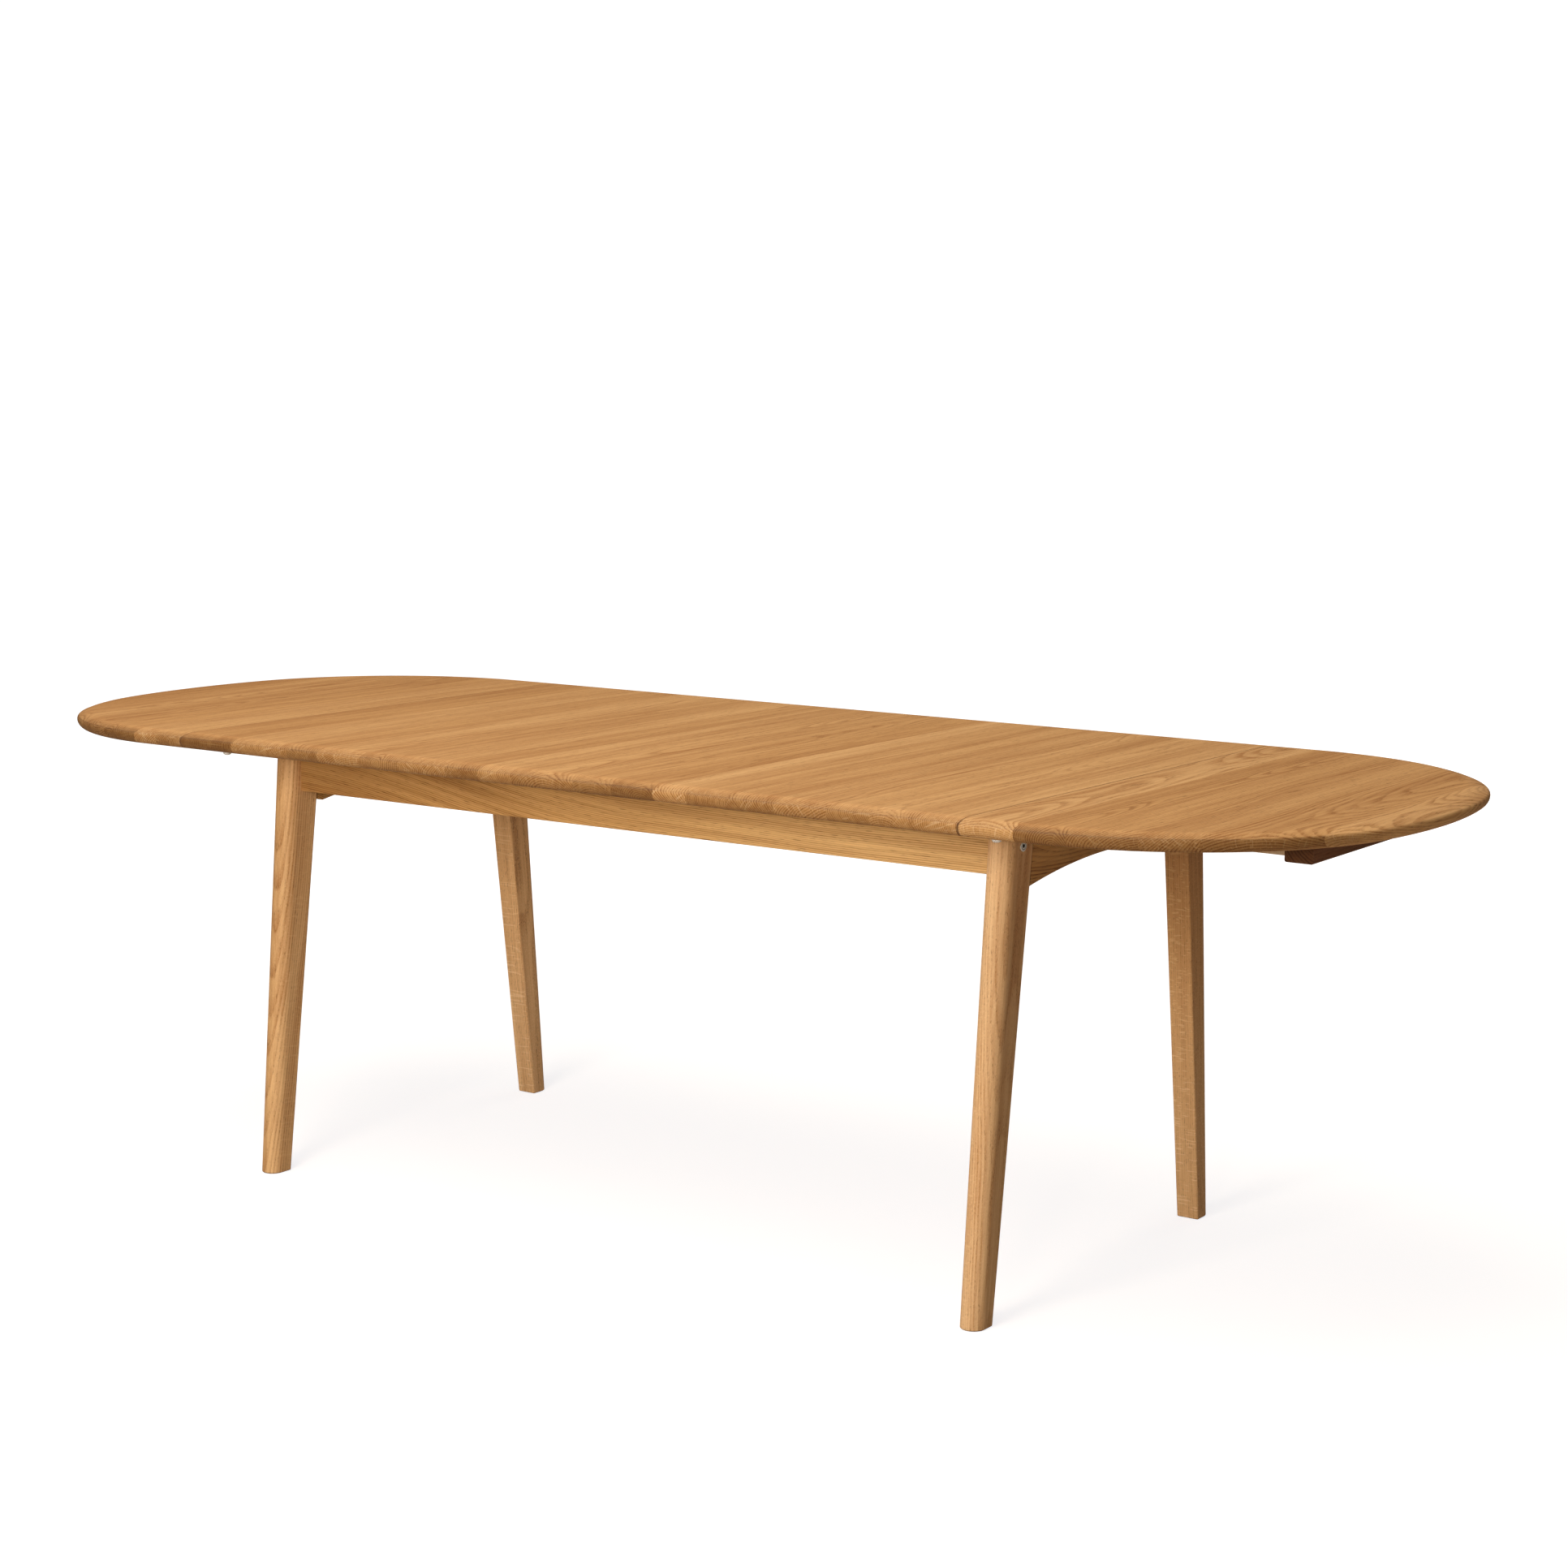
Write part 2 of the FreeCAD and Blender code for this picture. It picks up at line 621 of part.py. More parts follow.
def end_aprons():
    """Arched aprons under the ends, notched for the runners."""
    low = UNDERSIDE - S.end_apron_height
    foot = leg_inner(low)
    head = leg_inner(UNDERSIDE)
    arch = (foot * foot + S.arch_rise * S.arch_rise) / (2 * S.arch_rise)
    floor = SLIDE_TOP - S.runner_height - S.slide_gap
    outline = [(-foot, low, arch, -1), (foot, low), (head, UNDERSIDE)]
    outline += notch(1, floor) + notch(-1, floor) + [(-head, UNDERSIDE)]
    board = prism("end_apron_board", "YZ_Plane", END_MIDDLE, S.end_apron_thickness, outline)
    doc.recompute()
    lower = edges_where(board.Tip, lambda edge: isinstance(edge.Curve, Part.Circle))
    feature(board, "Chamfer", "end_apron_arris", Base=(board.Tip, lower), Size=S.apron_arris)
    tools = []
    for tool in dowel_rods("end_apron_hole", "end", DOWEL_HOLE, S.joint_dowel_length):
        tools += twins(tool, ACROSS_Y)
    tools.append(end_button_slot())
    apron = keep(drill("end_apron_drilled", board, tools), "right_end_apron")
    keep(twin(apron, "left_end_apron", ACROSS_X), "left_end_apron")


def cross_rails():
    """Rails between the long aprons that guide the runners and stop their pins."""
    low = UNDERSIDE - S.rail_height
    floor = SLIDE_TOP - S.runner_height - S.slide_gap
    outline = [(-APRON_BACK, low), (APRON_BACK, low), (APRON_BACK, UNDERSIDE)]
    outline += notch(1, floor) + notch(-1, floor) + [(-APRON_BACK, UNDERSIDE)]
    board = prism("rail_board", "YZ_Plane", RAIL_MIDDLE, S.rail_thickness, outline)
    tools = []
    for tool in dowel_rods("rail_hole", "rail", DOWEL_HOLE, S.joint_dowel_length * 0.8):
        tools += twins(tool, ACROSS_Y)
    rail = keep(drill("rail_drilled", board, tools), "right_cross_rail")
    keep(twin(rail, "left_cross_rail", ACROSS_X), "left_cross_rail")


def joint_dowels():
    """The glued dowels of the frame, one group for each kind of joint."""
    for kind, label, share in (("apron", "apron_dowels", 1), ("end", "end_apron_dowels", 1),
                               ("rail", "cross_rail_dowels", 0.8)):
        rods = dowel_rods("dowel", kind, S.dowel_radius, (S.joint_dowel_length - 1) * share)
        pieces = []
        for item in rods:
            pieces += four(item)
        keep(group(f"{kind}_dowel_group", pieces), label)


# ---- Leg bolts -----------------------------------------------------------------------------------


def leg_bolts():
    """Sleeve nuts in the legs, threaded rods, and barrel nuts in the long aprons."""
    face = LEG_SPREAD + leg_half_width(BOLT_LEVEL) + S.dowel_play
    rim = S.nut_head_radius
    top = S.nut_head_height
    thread = S.bolt_radius + S.dowel_play
    nut = turning("sleeve_nut", [
        (thread, -S.sleeve_length),
        (S.sleeve_radius, -S.sleeve_length),
        (S.sleeve_radius, 0),
        (rim, 0),
        (rim, top - S.nut_head_round, S.nut_head_round, 1),
        (rim - S.nut_head_round, top),
        (0, top),
        (0, -S.socket_depth - 1),
        (thread, -S.socket_depth - 1),
    ])
    socket = new_sketch(nut, "sleeve_nut_socket", "XY_Plane", top)
    corners = []
    for step in range(6):
        angle = math.radians(60 * step)
        corners.append((S.socket_radius * math.cos(angle), S.socket_radius * math.sin(angle)))
    draw(socket, corners)
    feature(nut, "Pocket", "sleeve_nut_hexagon", Profile=socket, Length=S.socket_depth)
    settle(nut, (face, APRON_MIDDLE, BOLT_LEVEL), "+X")
    keep(group("sleeve_nut_group", four(nut)), "sleeve_nuts")

    barrel = leg_inner_side(BOLT_LEVEL) - S.barrel_setback
    start = barrel - S.barrel_radius + 1
    bar = rod("threaded_rod", S.bolt_radius, S.bolt_length - 2,
              (start, APRON_MIDDLE, BOLT_LEVEL), "+X")
    keep(group("threaded_rod_group", four(bar)), "threaded_rods")

    drum = rod("barrel_drum", S.barrel_radius, S.barrel_length,
               (barrel, APRON_BACK, BOLT_LEVEL), "+Y")
    bore = rod("barrel_bore", thread, 3 * S.barrel_radius,
               (barrel - 1.5 * S.barrel_radius, APRON_MIDDLE, BOLT_LEVEL), "+X")
    keep(group("barrel_group", four(drill("barrel_nut", drum, [bore]))), "barrel_nuts")


# ---- Wooden buttons that hold the top down ---------------------------------------------------------


def button_slot(name, place):
    """Slot in the rear apron's inner face for one button's tongue."""
    top = UNDERSIDE - S.tongue_drop
    half = S.button_width / 2 + S.slot_slack
    low = (place - half, APRON_BACK - 1, top - S.tongue_height - S.slot_slack)
    high = (place + half, APRON_BACK + S.tongue_length + S.slot_slack, top + S.slot_slack)
    return block(name, low, high)


def end_button_slot():
    """Slot in the right end apron's inner face."""
    top = UNDERSIDE - S.tongue_drop
    half = S.button_width / 2 + S.slot_slack
    low = (END_BACK - 1, -half, top - S.tongue_height - S.slot_slack)
    high = (END_BACK + S.tongue_length + S.slot_slack, half, top + S.slot_slack)
    return block("end_apron_slot", low, high)


def button_outline():
    """Side view of a button: (distance from its apron, height below the top)."""
    top = -S.slide_gap
    return [
        (-S.button_length, -S.button_height),
        (-S.slide_gap, -S.button_height),
        (-S.slide_gap, -S.tongue_drop - S.tongue_height),
        (S.tongue_length, -S.tongue_drop - S.tongue_height),
        (S.tongue_length, -S.tongue_drop),
        (-S.slide_gap, -S.tongue_drop),
        (-S.slide_gap, top),
        (-S.button_length, top),
    ]


def button_places():
    """(name, place, direction) of the rear and right-hand buttons."""
    rows = []
    for mark, shift in (("left", -1), ("middle", 0), ("right", 1)):
        rows.append((f"long_{mark}", (shift * S.button_spacing, APRON_BACK), "+Y"))
    rows.append(("end", (END_BACK, as_length(0)), "+X"))
    return rows


def screw_place(place, along):
    """Where a button's screw stands, behind its apron."""
    back = S.button_length / 2
    if along == "+Y":
        return (place[0], place[1] - back, UNDERSIDE - S.button_height)
    return (place[0] - back, place[1], UNDERSIDE - S.button_height)


def button_pilots():
    """Pilot holes in the underside of the main top for the button screws."""
    holes = []
    for name, place, along in button_places():
        spot = screw_place(place, along)
        hole = rod(f"pilot_{name}", S.screw_radius + S.dowel_play, S.button_screw_length + 1, spot, "+Z")
        holes += twins(hole, ACROSS_Y if along == "+Y" else ACROSS_X)
    return holes


def wood_screw(name, length, place, along):
    """Countersunk wood screw; its own +Z runs from the head to the point."""
    tip = S.screw_radius
    screw = turning(name, [
        (0, 0),
        (S.screw_head_radius, 0),
        (S.screw_radius, S.screw_head_radius - S.screw_radius),
        (S.screw_radius, length - tip),
        (0, length),
    ])
    return settle(screw, place, along)


def screw_hole(name, length, place, along):
    """Countersunk clearance hole that a wood screw's head sits in."""
    play = S.dowel_play
    hole = turning(name, [
        (0, -play),
        (S.screw_head_radius + play, -play),
        (S.screw_head_radius + play, 0),
        (S.screw_radius + play, S.screw_head_radius - S.screw_radius),
        (S.screw_radius + play, length),
        (0, length),
    ])
    return settle(hole, place, along)


def top_buttons():
    """Wooden buttons and their screws: the top can still swell and shrink across the frame."""
    buttons = []
    screws = []
    for name, place, along in button_places():
        body = prism(f"button_{name}", "XZ_Plane", 0, S.button_width, button_outline())
        body.Placement = Placement(Vector(place[0].value, place[1].value, UNDERSIDE.value),
                                   Rotation(Vector(0, 0, 1), 90 if along == "+Y" else 0))
        for axis, part in zip("xyz", (place[0], place[1], UNDERSIDE)):
            bind(body, f"Placement.Base.{axis}", part)
        spot = screw_place(place, along)
        hole = screw_hole(f"button_hole_{name}", S.button_height + 1, spot, "+Z")
        button = drill(f"button_drilled_{name}", body, [hole])
        screw = wood_screw(f"button_screw_{name}", S.button_screw_length, spot, "+Z")
        across = ACROSS_Y if along == "+Y" else ACROSS_X
        buttons += twins(button, across)
        screws += twins(screw, across)
    keep(group("button_group", buttons), "top_buttons")
    keep(group("button_screw_group", screws), "button_screws")


# ---- Draw bearers ----------------------------------------------------------------------------------


def bearers():
    """Two runners and a batten at each end, which slide out to carry a leaf."""
    low = SLIDE_TOP - S.runner_height
    lead = S.runner_lead
    stick = prism("runner_stick", "XZ_Plane", -RUNNER_MIDDLE, S.runner_width, [
        (RUNNER_START + lead, low),
        (RUNNER_END, low),
        (RUNNER_END, SLIDE_TOP),
        (RUNNER_START, SLIDE_TOP),
        (RUNNER_START, low + lead),
    ])
    pin_start = RUNNER_MIDDLE - S.runner_width / 2 - S.stop_reach
    pin_length = S.runner_width + 2 * S.stop_reach
    pin_place = (STOP_PLACE, pin_start, RUNNER_LEVEL)
    pin = rod("stop_pin", S.stop_radius, pin_length, pin_place, "+Y")
    dowel_place = (RUNNER_END - HALF_DOWEL, RUNNER_MIDDLE, RUNNER_LEVEL)
    length = S.joint_dowel_length
    hole = rod("runner_end_hole", DOWEL_HOLE, length, dowel_place, "+X")
    tools = [rod("stop_hole", S.stop_radius + S.dowel_play, pin_length, pin_place, "+Y"), hole]
    rear = keep(drill("runner_drilled", stick, tools), "right_rear_runner")
    front = keep(twin(rear, "right_front_runner", ACROSS_Y), "right_front_runner")

    bottom = SLIDE_TOP - S.batten_height
    far = RUNNER_END + S.batten_width
    curve = S.batten_round
    bar = prism("batten_bar", "XZ_Plane", 0, 2 * RUNNER_OUTER, [
        (RUNNER_END, bottom + curve, curve, 1),
        (RUNNER_END + curve, bottom),
        (far - curve, bottom, curve, 1),
        (far, bottom + curve),
        (far, SLIDE_TOP),
        (RUNNER_END, SLIDE_TOP),
    ])
    batten = keep(drill("batten_drilled", bar, twins(hole, ACROSS_Y)), "right_batten")

    short = (dowel_place[0] + 0.5, RUNNER_MIDDLE, RUNNER_LEVEL)
    dowel = rod("batten_dowel", S.dowel_radius, length - 1, short, "+X")
    dowels = keep(group("batten_dowel_group", twins(dowel, ACROSS_Y)), "right_batten_dowels")
    pins = keep(group("stop_pin_group", twins(pin, ACROSS_Y)), "right_stop_pins")
    for item, label in ((rear, "left_rear_runner"), (front, "left_front_runner"),
                        (batten, "left_batten"), (dowels, "left_batten_dowels"),
                        (pins, "left_stop_pins")):
        keep(twin(item, label, ACROSS_X), label)


# ---- Rest plates under the seams ---------------------------------------------------------------------


def plate_screw_spots():
    """Places of the two screws of the rear right rest plate, on its lower face."""
    level = SLIDE_TOP - S.plate_thickness
    first = SEAM + S.plate_reach - S.plate_length + S.screw_head_radius * 3
    return [(first, PLATE_PLACE, level), (first + S.plate_screw_spacing, PLATE_PLACE, level)]


def plate_pilots():
    """Pilot holes in the underside of the main top for the rest plates' screws."""
    holes = []
    for number, spot in enumerate(plate_screw_spots(), start=1):
        length = S.plate_screw_length + 1
        hole = rod(f"plate_pilot_{number}", S.screw_radius + S.dowel_play, length, spot, "+Z")
        holes += four(hole)
    return holes


def rest_plates():
    """Steel plates screwed under the main top; each leaf's inner edge lies on their free ends."""
    start = SEAM + S.plate_reach - S.plate_length
    end = SEAM + S.plate_reach
    low = PLATE_PLACE - S.plate_width / 2
    high = PLATE_PLACE + S.plate_width / 2
    curve = S.plate_corner
    middle = SLIDE_TOP - S.plate_thickness / 2
    plate = prism("plate_blank", "XY_Plane", middle, S.plate_thickness, [
        (start + curve, low),
        (end - curve, low, curve, 1),
        (end, low + curve),
        (end, high - curve, curve, 1),
        (end - curve, high),
        (start + curve, high, curve, 1),
        (start, high - curve),
        (start, low + curve, curve, 1),
    ])
    level = SLIDE_TOP - S.plate_thickness
    neck = (SEAM, PLATE_PLACE, level)
    tools = [rod("stud_hole", S.stud_neck_radius + S.dowel_play, 2 * S.plate_thickness, neck, "+Z")]
    screws = []
    for number, spot in enumerate(plate_screw_spots(), start=1):
        tools.append(screw_hole(f"plate_hole_{number}", 2 * S.plate_thickness, spot, "+Z"))
        screws += four(wood_screw(f"plate_screw_{number}", S.plate_screw_length, spot, "+Z"))
    drilled = drill("plate_drilled", plate, tools)

    wall = S.stud_radius
    dome = (wall * wall + S.stud_dome * S.stud_dome) / (2 * S.stud_dome)
    stud = turning("rest_stud", [
        (0, -S.plate_thickness),
        (S.stud_neck_radius, -S.plate_thickness),
        (S.stud_neck_radius, 0),
        (wall, 0),
        (wall, S.stud_height - S.stud_dome, dome, 1),
        (0, S.stud_height),
    ])
    settle(stud, neck, "-Z")
    keep(group("plate_group", four(drilled)), "rest_plates")
    keep(group("stud_group", four(stud)), "rest_studs")
    keep(group("plate_screw_group", screws), "plate_screws")


# ---- Build, check and write ----------------------------------------------------------------------------

main_top()
leaves()
legs()
long_aprons()
end_aprons()
cross_rails()
joint_dowels()
leg_bolts()
top_buttons()
bearers()
rest_plates()
doc.recompute()

for item in doc.Objects:
    if "Invalid" in item.State or "Error" in item.State:
        raise RuntimeError(f"{item.Label} failed to build: {item.State}")
for item in PIECES:
    if item.Shape.isNull() or not item.Shape.isValid() or item.Shape.Volume <= 0:
        raise RuntimeError(f"{item.Label} has no valid shape")

os.makedirs("parts", exist_ok=True)
for item in PIECES:
    item.Shape.exportStep(f"parts/{item.Label}.step")
    print(f"{item.Label}: {len(item.Shape.Solids)} solid(s), {item.Shape.Volume / 1000:.1f} cm3")
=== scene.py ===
"""Extending table in oiled oak: finishes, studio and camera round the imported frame.

Lengths are metres.  X runs along the table, Y across it, Z up, as in the frame.
"""

import math

import bmesh
import bpy
from mathutils import Matrix, Vector


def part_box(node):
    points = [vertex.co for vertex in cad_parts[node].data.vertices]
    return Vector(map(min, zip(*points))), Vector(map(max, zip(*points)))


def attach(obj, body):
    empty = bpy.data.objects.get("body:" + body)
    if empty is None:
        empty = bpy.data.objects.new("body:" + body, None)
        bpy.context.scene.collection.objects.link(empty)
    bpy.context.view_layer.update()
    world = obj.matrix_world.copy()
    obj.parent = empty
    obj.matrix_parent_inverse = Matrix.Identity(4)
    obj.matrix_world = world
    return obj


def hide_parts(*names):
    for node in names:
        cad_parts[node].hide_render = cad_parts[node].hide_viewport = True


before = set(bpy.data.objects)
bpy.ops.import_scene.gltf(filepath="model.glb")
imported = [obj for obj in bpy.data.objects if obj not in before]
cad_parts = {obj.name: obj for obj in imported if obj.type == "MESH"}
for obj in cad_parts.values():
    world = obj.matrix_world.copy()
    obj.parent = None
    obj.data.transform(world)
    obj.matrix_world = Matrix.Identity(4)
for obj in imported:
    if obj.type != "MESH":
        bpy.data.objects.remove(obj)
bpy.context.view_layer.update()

# ---- Sizes read from the frame -------------------------------------------------------------------

TABLE_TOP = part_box("main_top")[1].z
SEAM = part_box("main_top")[1].x

# ---- Camera --------------------------------------------------------------------------------------

VIEW_AZIMUTH = math.radians(34.785)  # from straight in front, round to the right
VIEW_RISE = math.radians(9.235)
VIEW_ROLL = math.radians(0.353)
VIEW_AIM = Vector((0.0643, 0.0725, 0.5813))
VIEW_DISTANCE = 4.609
VIEW_REACH = 200.0
VIEW_SENSOR = 36.0  # millimetres, as is the lens
VIEW_LENS = 66.81
VIEW_SHIFT = 0.0316

# ---- Staves of the slabs: (left joint, heart across, heart below the face, tone) -----------------

LEFT_STAVES = [
    # The outermost stave's low tone is partly its own and partly painted shade on the leaf's far end,
    # turned away from the lamps.
    (-1.30, -1.21, 0.060, 0.33),
    (-1.095, -1.02, 0.085, 0.50),
    (-0.994, -0.93, -0.055, 0.46),
    (-0.905, -0.875, 0.030, 0.40),
    (-0.822, -0.70, 0.110, 0.62),
    (-0.775, -0.60, 0.120, 0.52),
]
MAIN_STAVES = [
    (-0.720, -0.735, 0.012, 0.40),
    (-0.608, -0.72, 0.130, 0.56),
    (-0.486, -0.52, 0.090, 0.46),
    (-0.425, -0.33, 0.105, 0.58),
    (-0.338, -0.29, 0.014, 0.52),
    (-0.262, -0.13, 0.090, 0.56),
    (-0.170, -0.26, 0.115, 0.47),
    (-0.105, -0.21, 0.075, 0.55),
    (-0.042, 0.02, 0.050, 0.50),
    (0.070, 0.12, 0.060, 0.44),
    (0.140, 0.19, 0.035, 0.40),
    (0.214, 0.10, 0.140, 0.61),
    (0.272, 0.36, 0.030, 0.52),
    (0.340, 0.30, 0.070, 0.50),
    (0.420, 0.52, 0.100, 0.55),
    (0.505, 0.40, 0.085, 0.50),
    (0.575, 0.60, 0.045, 0.54),
    (0.645, 0.52, 0.075, 0.58),
]
RIGHT_STAVES = [
    (0.700, 0.750, 0.140, 0.64),
    (0.798, 0.86, 0.030, 0.40),
    (0.872, 0.97, 0.090, 0.43),
    (0.962, 0.90, -0.060, 0.47),
    (1.030, 1.09, 0.120, 0.44),
    (1.142, 1.165, 0.026, 0.57),
]
HEART_MARGIN = 0.30  # hearts may lie this far beyond a slab's ends
HEART_DEPTH = 0.15  # and this far above or below its face
PAST_LAST_JOINT = 0.1  # how far a slab's list of staves reaches past its last joint
SEED_SPREAD = 37.0  # how far apart the seeds of two hearts a metre apart are

# ---- Colours (linear red, green, blue) -----------------------------------------------------------

TOP_PALE = (0.622, 0.336, 0.127)
TOP_DEEP = (0.340, 0.137, 0.035)
LEG_PALE = (0.785, 0.470, 0.215)
LEG_DEEP = (0.400, 0.180, 0.060)
FRONT_LEFT_LEG_PALE = (0.780, 0.500, 0.245)
# Paler on the front right leg: partly its own wood and partly a painted highlight on its lit front.
FRONT_RIGHT_LEG_PALE = (0.730, 0.478, 0.250)
APRON_PALE = (0.665, 0.394, 0.152)
APRON_DEEP = (0.255, 0.108, 0.027)
# The battens' colours are darkened as painted shade under the leaves:
SHADED_BATTEN_PALE = (0.216, 0.094, 0.039)
SHADED_BATTEN_DEEP = (0.108, 0.041, 0.016)
RUNNER_PALE = (0.700, 0.540, 0.365)
RUNNER_DEEP = (0.520, 0.368, 0.224)
RAIL_PALE = (0.560, 0.370, 0.200)
RAIL_DEEP = (0.400, 0.230, 0.110)
BEECH_PALE = (0.640, 0.440, 0.270)
BEECH_DEEP = (0.480, 0.300, 0.170)
PORE_DARK = (0.060, 0.022, 0.008)
RAY_LIGHT = (0.95, 0.66, 0.36)
# Painted shade in the groove at a seam between two slabs:
SEAM_SHADE_DARK = (0.085, 0.034, 0.013)
BRIGHT_STEEL = (0.92, 0.92, 0.93)
PLAIN_STEEL = (0.72, 0.72, 0.73)
SATIN_STEEL = (0.95, 0.95, 0.94)
# Painted shade in a nut's socket and in the groove round it:
SOCKET_SHADE_DARK = (0.012, 0.012, 0.013)

# ---- Shader tools --------------------------------------------------------------------------------

MIX_COLOURS = (6, 7)  # a Mix node's colour sockets
MIX_RESULT = 2


class Recipe:
    """Adds shader nodes to a material or a group and joins them up."""

    def __init__(self, tree):
        self.tree = tree

    def add(self, kind, feeds=None, **settings):
        """A node with its settings, and with each input fed by a socket or set to a value."""
        node = self.tree.nodes.new(kind)
        for key, value in settings.items():
            setattr(node, key, value)
        for key, feed in (feeds or {}).items():
            if isinstance(feed, bpy.types.NodeSocket):
                self.tree.links.new(feed, node.inputs[key])
            else:
                node.inputs[key].default_value = feed
        return node

    def maths(self, operation, *feeds):
        """One Math node's result."""
        return self.add("ShaderNodeMath", dict(enumerate(feeds)), operation=operation).outputs[0]

    def plus(self, first, second):
        """Two values added."""
        return self.maths("ADD", first, second)

    def minus(self, first, second):
        """The first value less the second."""
        return self.maths("SUBTRACT", first, second)

    def times(self, first, second):
        """Two values multiplied."""
        return self.maths("MULTIPLY", first, second)

    def times_plus(self, value, rate, start):
        """A value times a rate, added to a start."""
        return self.maths("MULTIPLY_ADD", value, rate, start)

    def vector(self, operation, *feeds):
        """One Vector Math node's result."""
        node = self.add("ShaderNodeVectorMath", dict(enumerate(feeds)), operation=operation)
        return node.outputs["Value" if operation == "LENGTH" else "Vector"]

    def scaled(self, vector, length):
        """A vector times a number."""
        feeds = {0: vector, "Scale": length}
        return self.add("ShaderNodeVectorMath", feeds, operation="SCALE").outputs[0]

    def noise(self, place, stretch, detail, seed=None, output="Fac"):
        """Soft random value, 0 to 1; stretch is how many times a metre it changes along each axis."""
        feeds = {"Vector": self.vector("MULTIPLY", place, stretch), "Scale": 1.0, "Detail": detail}
        dimensions = "3D"
        if seed is not None:
            feeds["W"] = seed
            dimensions = "4D"
        return self.add("ShaderNodeTexNoise", feeds, noise_dimensions=dimensions).outputs[output]

    def span(self, value, low, high, first=0.0, last=1.0):
        """A value run smoothly from one range to another."""
        feeds = {"Value": value, "From Min": low, "From Max": high, "To Min": first, "To Max": last}
        return self.add("ShaderNodeMapRange", feeds, interpolation_type="SMOOTHSTEP").outputs[0]

    def blend(self, share, first, second, way="MIX"):
        """Two colours mixed."""
        feeds = {"Factor": share}
        for index, feed in zip(MIX_COLOURS, (first, second)):
            feeds[index] = feed if isinstance(feed, bpy.types.NodeSocket) else (*feed, 1.0)
        node = self.add("ShaderNodeMix", feeds, data_type="RGBA", blend_type=way)
        return node.outputs[MIX_RESULT]

    def split(self, vector):
        """A vector's three parts."""
        return self.add("ShaderNodeSeparateXYZ", {0: vector}).outputs

    def join(self, *parts):
        """A vector from three parts."""
        return self.add("ShaderNodeCombineXYZ", dict(enumerate(parts))).outputs[0]


def new_group(name, inputs, outputs):
    """An empty shader group with named sockets; inputs are (name, kind, value)."""
    group = bpy.data.node_groups.new(name, "ShaderNodeTree")
    for label, kind, value in inputs:
        socket = group.interface.new_socket(label, in_out="INPUT", socket_type=f"NodeSocket{kind}")
        if value is not None:
            socket.default_value = value
    for label, kind in outputs:
        group.interface.new_socket(label, in_out="OUTPUT", socket_type=f"NodeSocket{kind}")
    recipe = Recipe(group)
    given = recipe.add("NodeGroupInput").outputs
    return group, recipe, given


def new_material(name):
    """An empty material with its Principled shader joined to the output."""
    material = bpy.data.materials.new(name)
    material.use_nodes = True
    material.node_tree.nodes.clear()
    recipe = Recipe(material.node_tree)
    shader = recipe.add("ShaderNodeBsdfPrincipled")
    recipe.add("ShaderNodeOutputMaterial", {"Surface": shader.outputs[0]})
    return material, recipe, shader


def feed_shader(r, shader, colour, roughness, height, relief):
    """Join a Principled shader to its colour, roughness and height; relief is (strength, depth)."""
    strength, depth = relief
    bump = r.add("ShaderNodeBump", {"Height": height, "Strength": strength, "Distance": depth})
    feeds = {"Base Color": colour, "Roughness": roughness, "Normal": bump.outputs[0]}
    for label, feed in feeds.items():
        r.tree.links.new(feed, shader.inputs[label])


def put_on(material, *names):
    """Give frame pieces their material."""
    for name in names:
        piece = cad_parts[name]
        piece.data.materials.clear()
        piece.data.materials.append(material)


# ---- Grain of oak --------------------------------------------------------------------------------

GRAIN_INPUTS = [
    ("Place", "Vector", None), ("Heart", "Vector", None), ("Seed", "Float", 0.0),
    ("Ring width", "Float", 0.0035), ("Wander", "Float", 0.010), ("Pore run", "Float", 0.016),
]

# How many times a metre each of these changes across, along and through a board.
SLOW_WANDER = (2.5, 1.3, 2.5)
QUICK_WANDER = (16.0, 4.5, 16.0)
RIPPLE = (150.0, 9.0, 150.0)
STREAKS = (24.0, 0.9, 24.0)
BANDS = (110.0, 2.6, 110.0)
FIBRES = (480.0, 8.0, 480.0)
PORES_ACROSS = 620.0
# Rays change this often in a radian round the heart, a metre out from it and a metre along it.
RAYS = (60.0, 16.0, 360.0)

SLOW_REACH = 4.0  # how many times the given wander the rings drift
QUICK_REACH = 0.55
RIPPLE_REACH = 0.0016
EARLY_FADE = (0.05, 0.60)  # parts of a ring's width between which its early wood fades
EARLY_RETURN = (0.88, 1.0)  # and between which the next ring's begins
FAINTEST_RING = 0.35
LATE_PORES = 0.20  # pores in the late wood, as a share of those in the early wood
BAND_SHARE = 0.45  # share of the narrow bands in a streak

# Each mark starts to show at the first of these noise values and is whole at the second.
PORE_EDGE = (0.55, 0.68)
RAY_EDGE = (0.56, 0.66)
STREAK_EDGE = (0.32, 0.68)
BAND_EDGE = (0.30, 0.70)
FIBRE_EDGE = (0.25, 0.75)


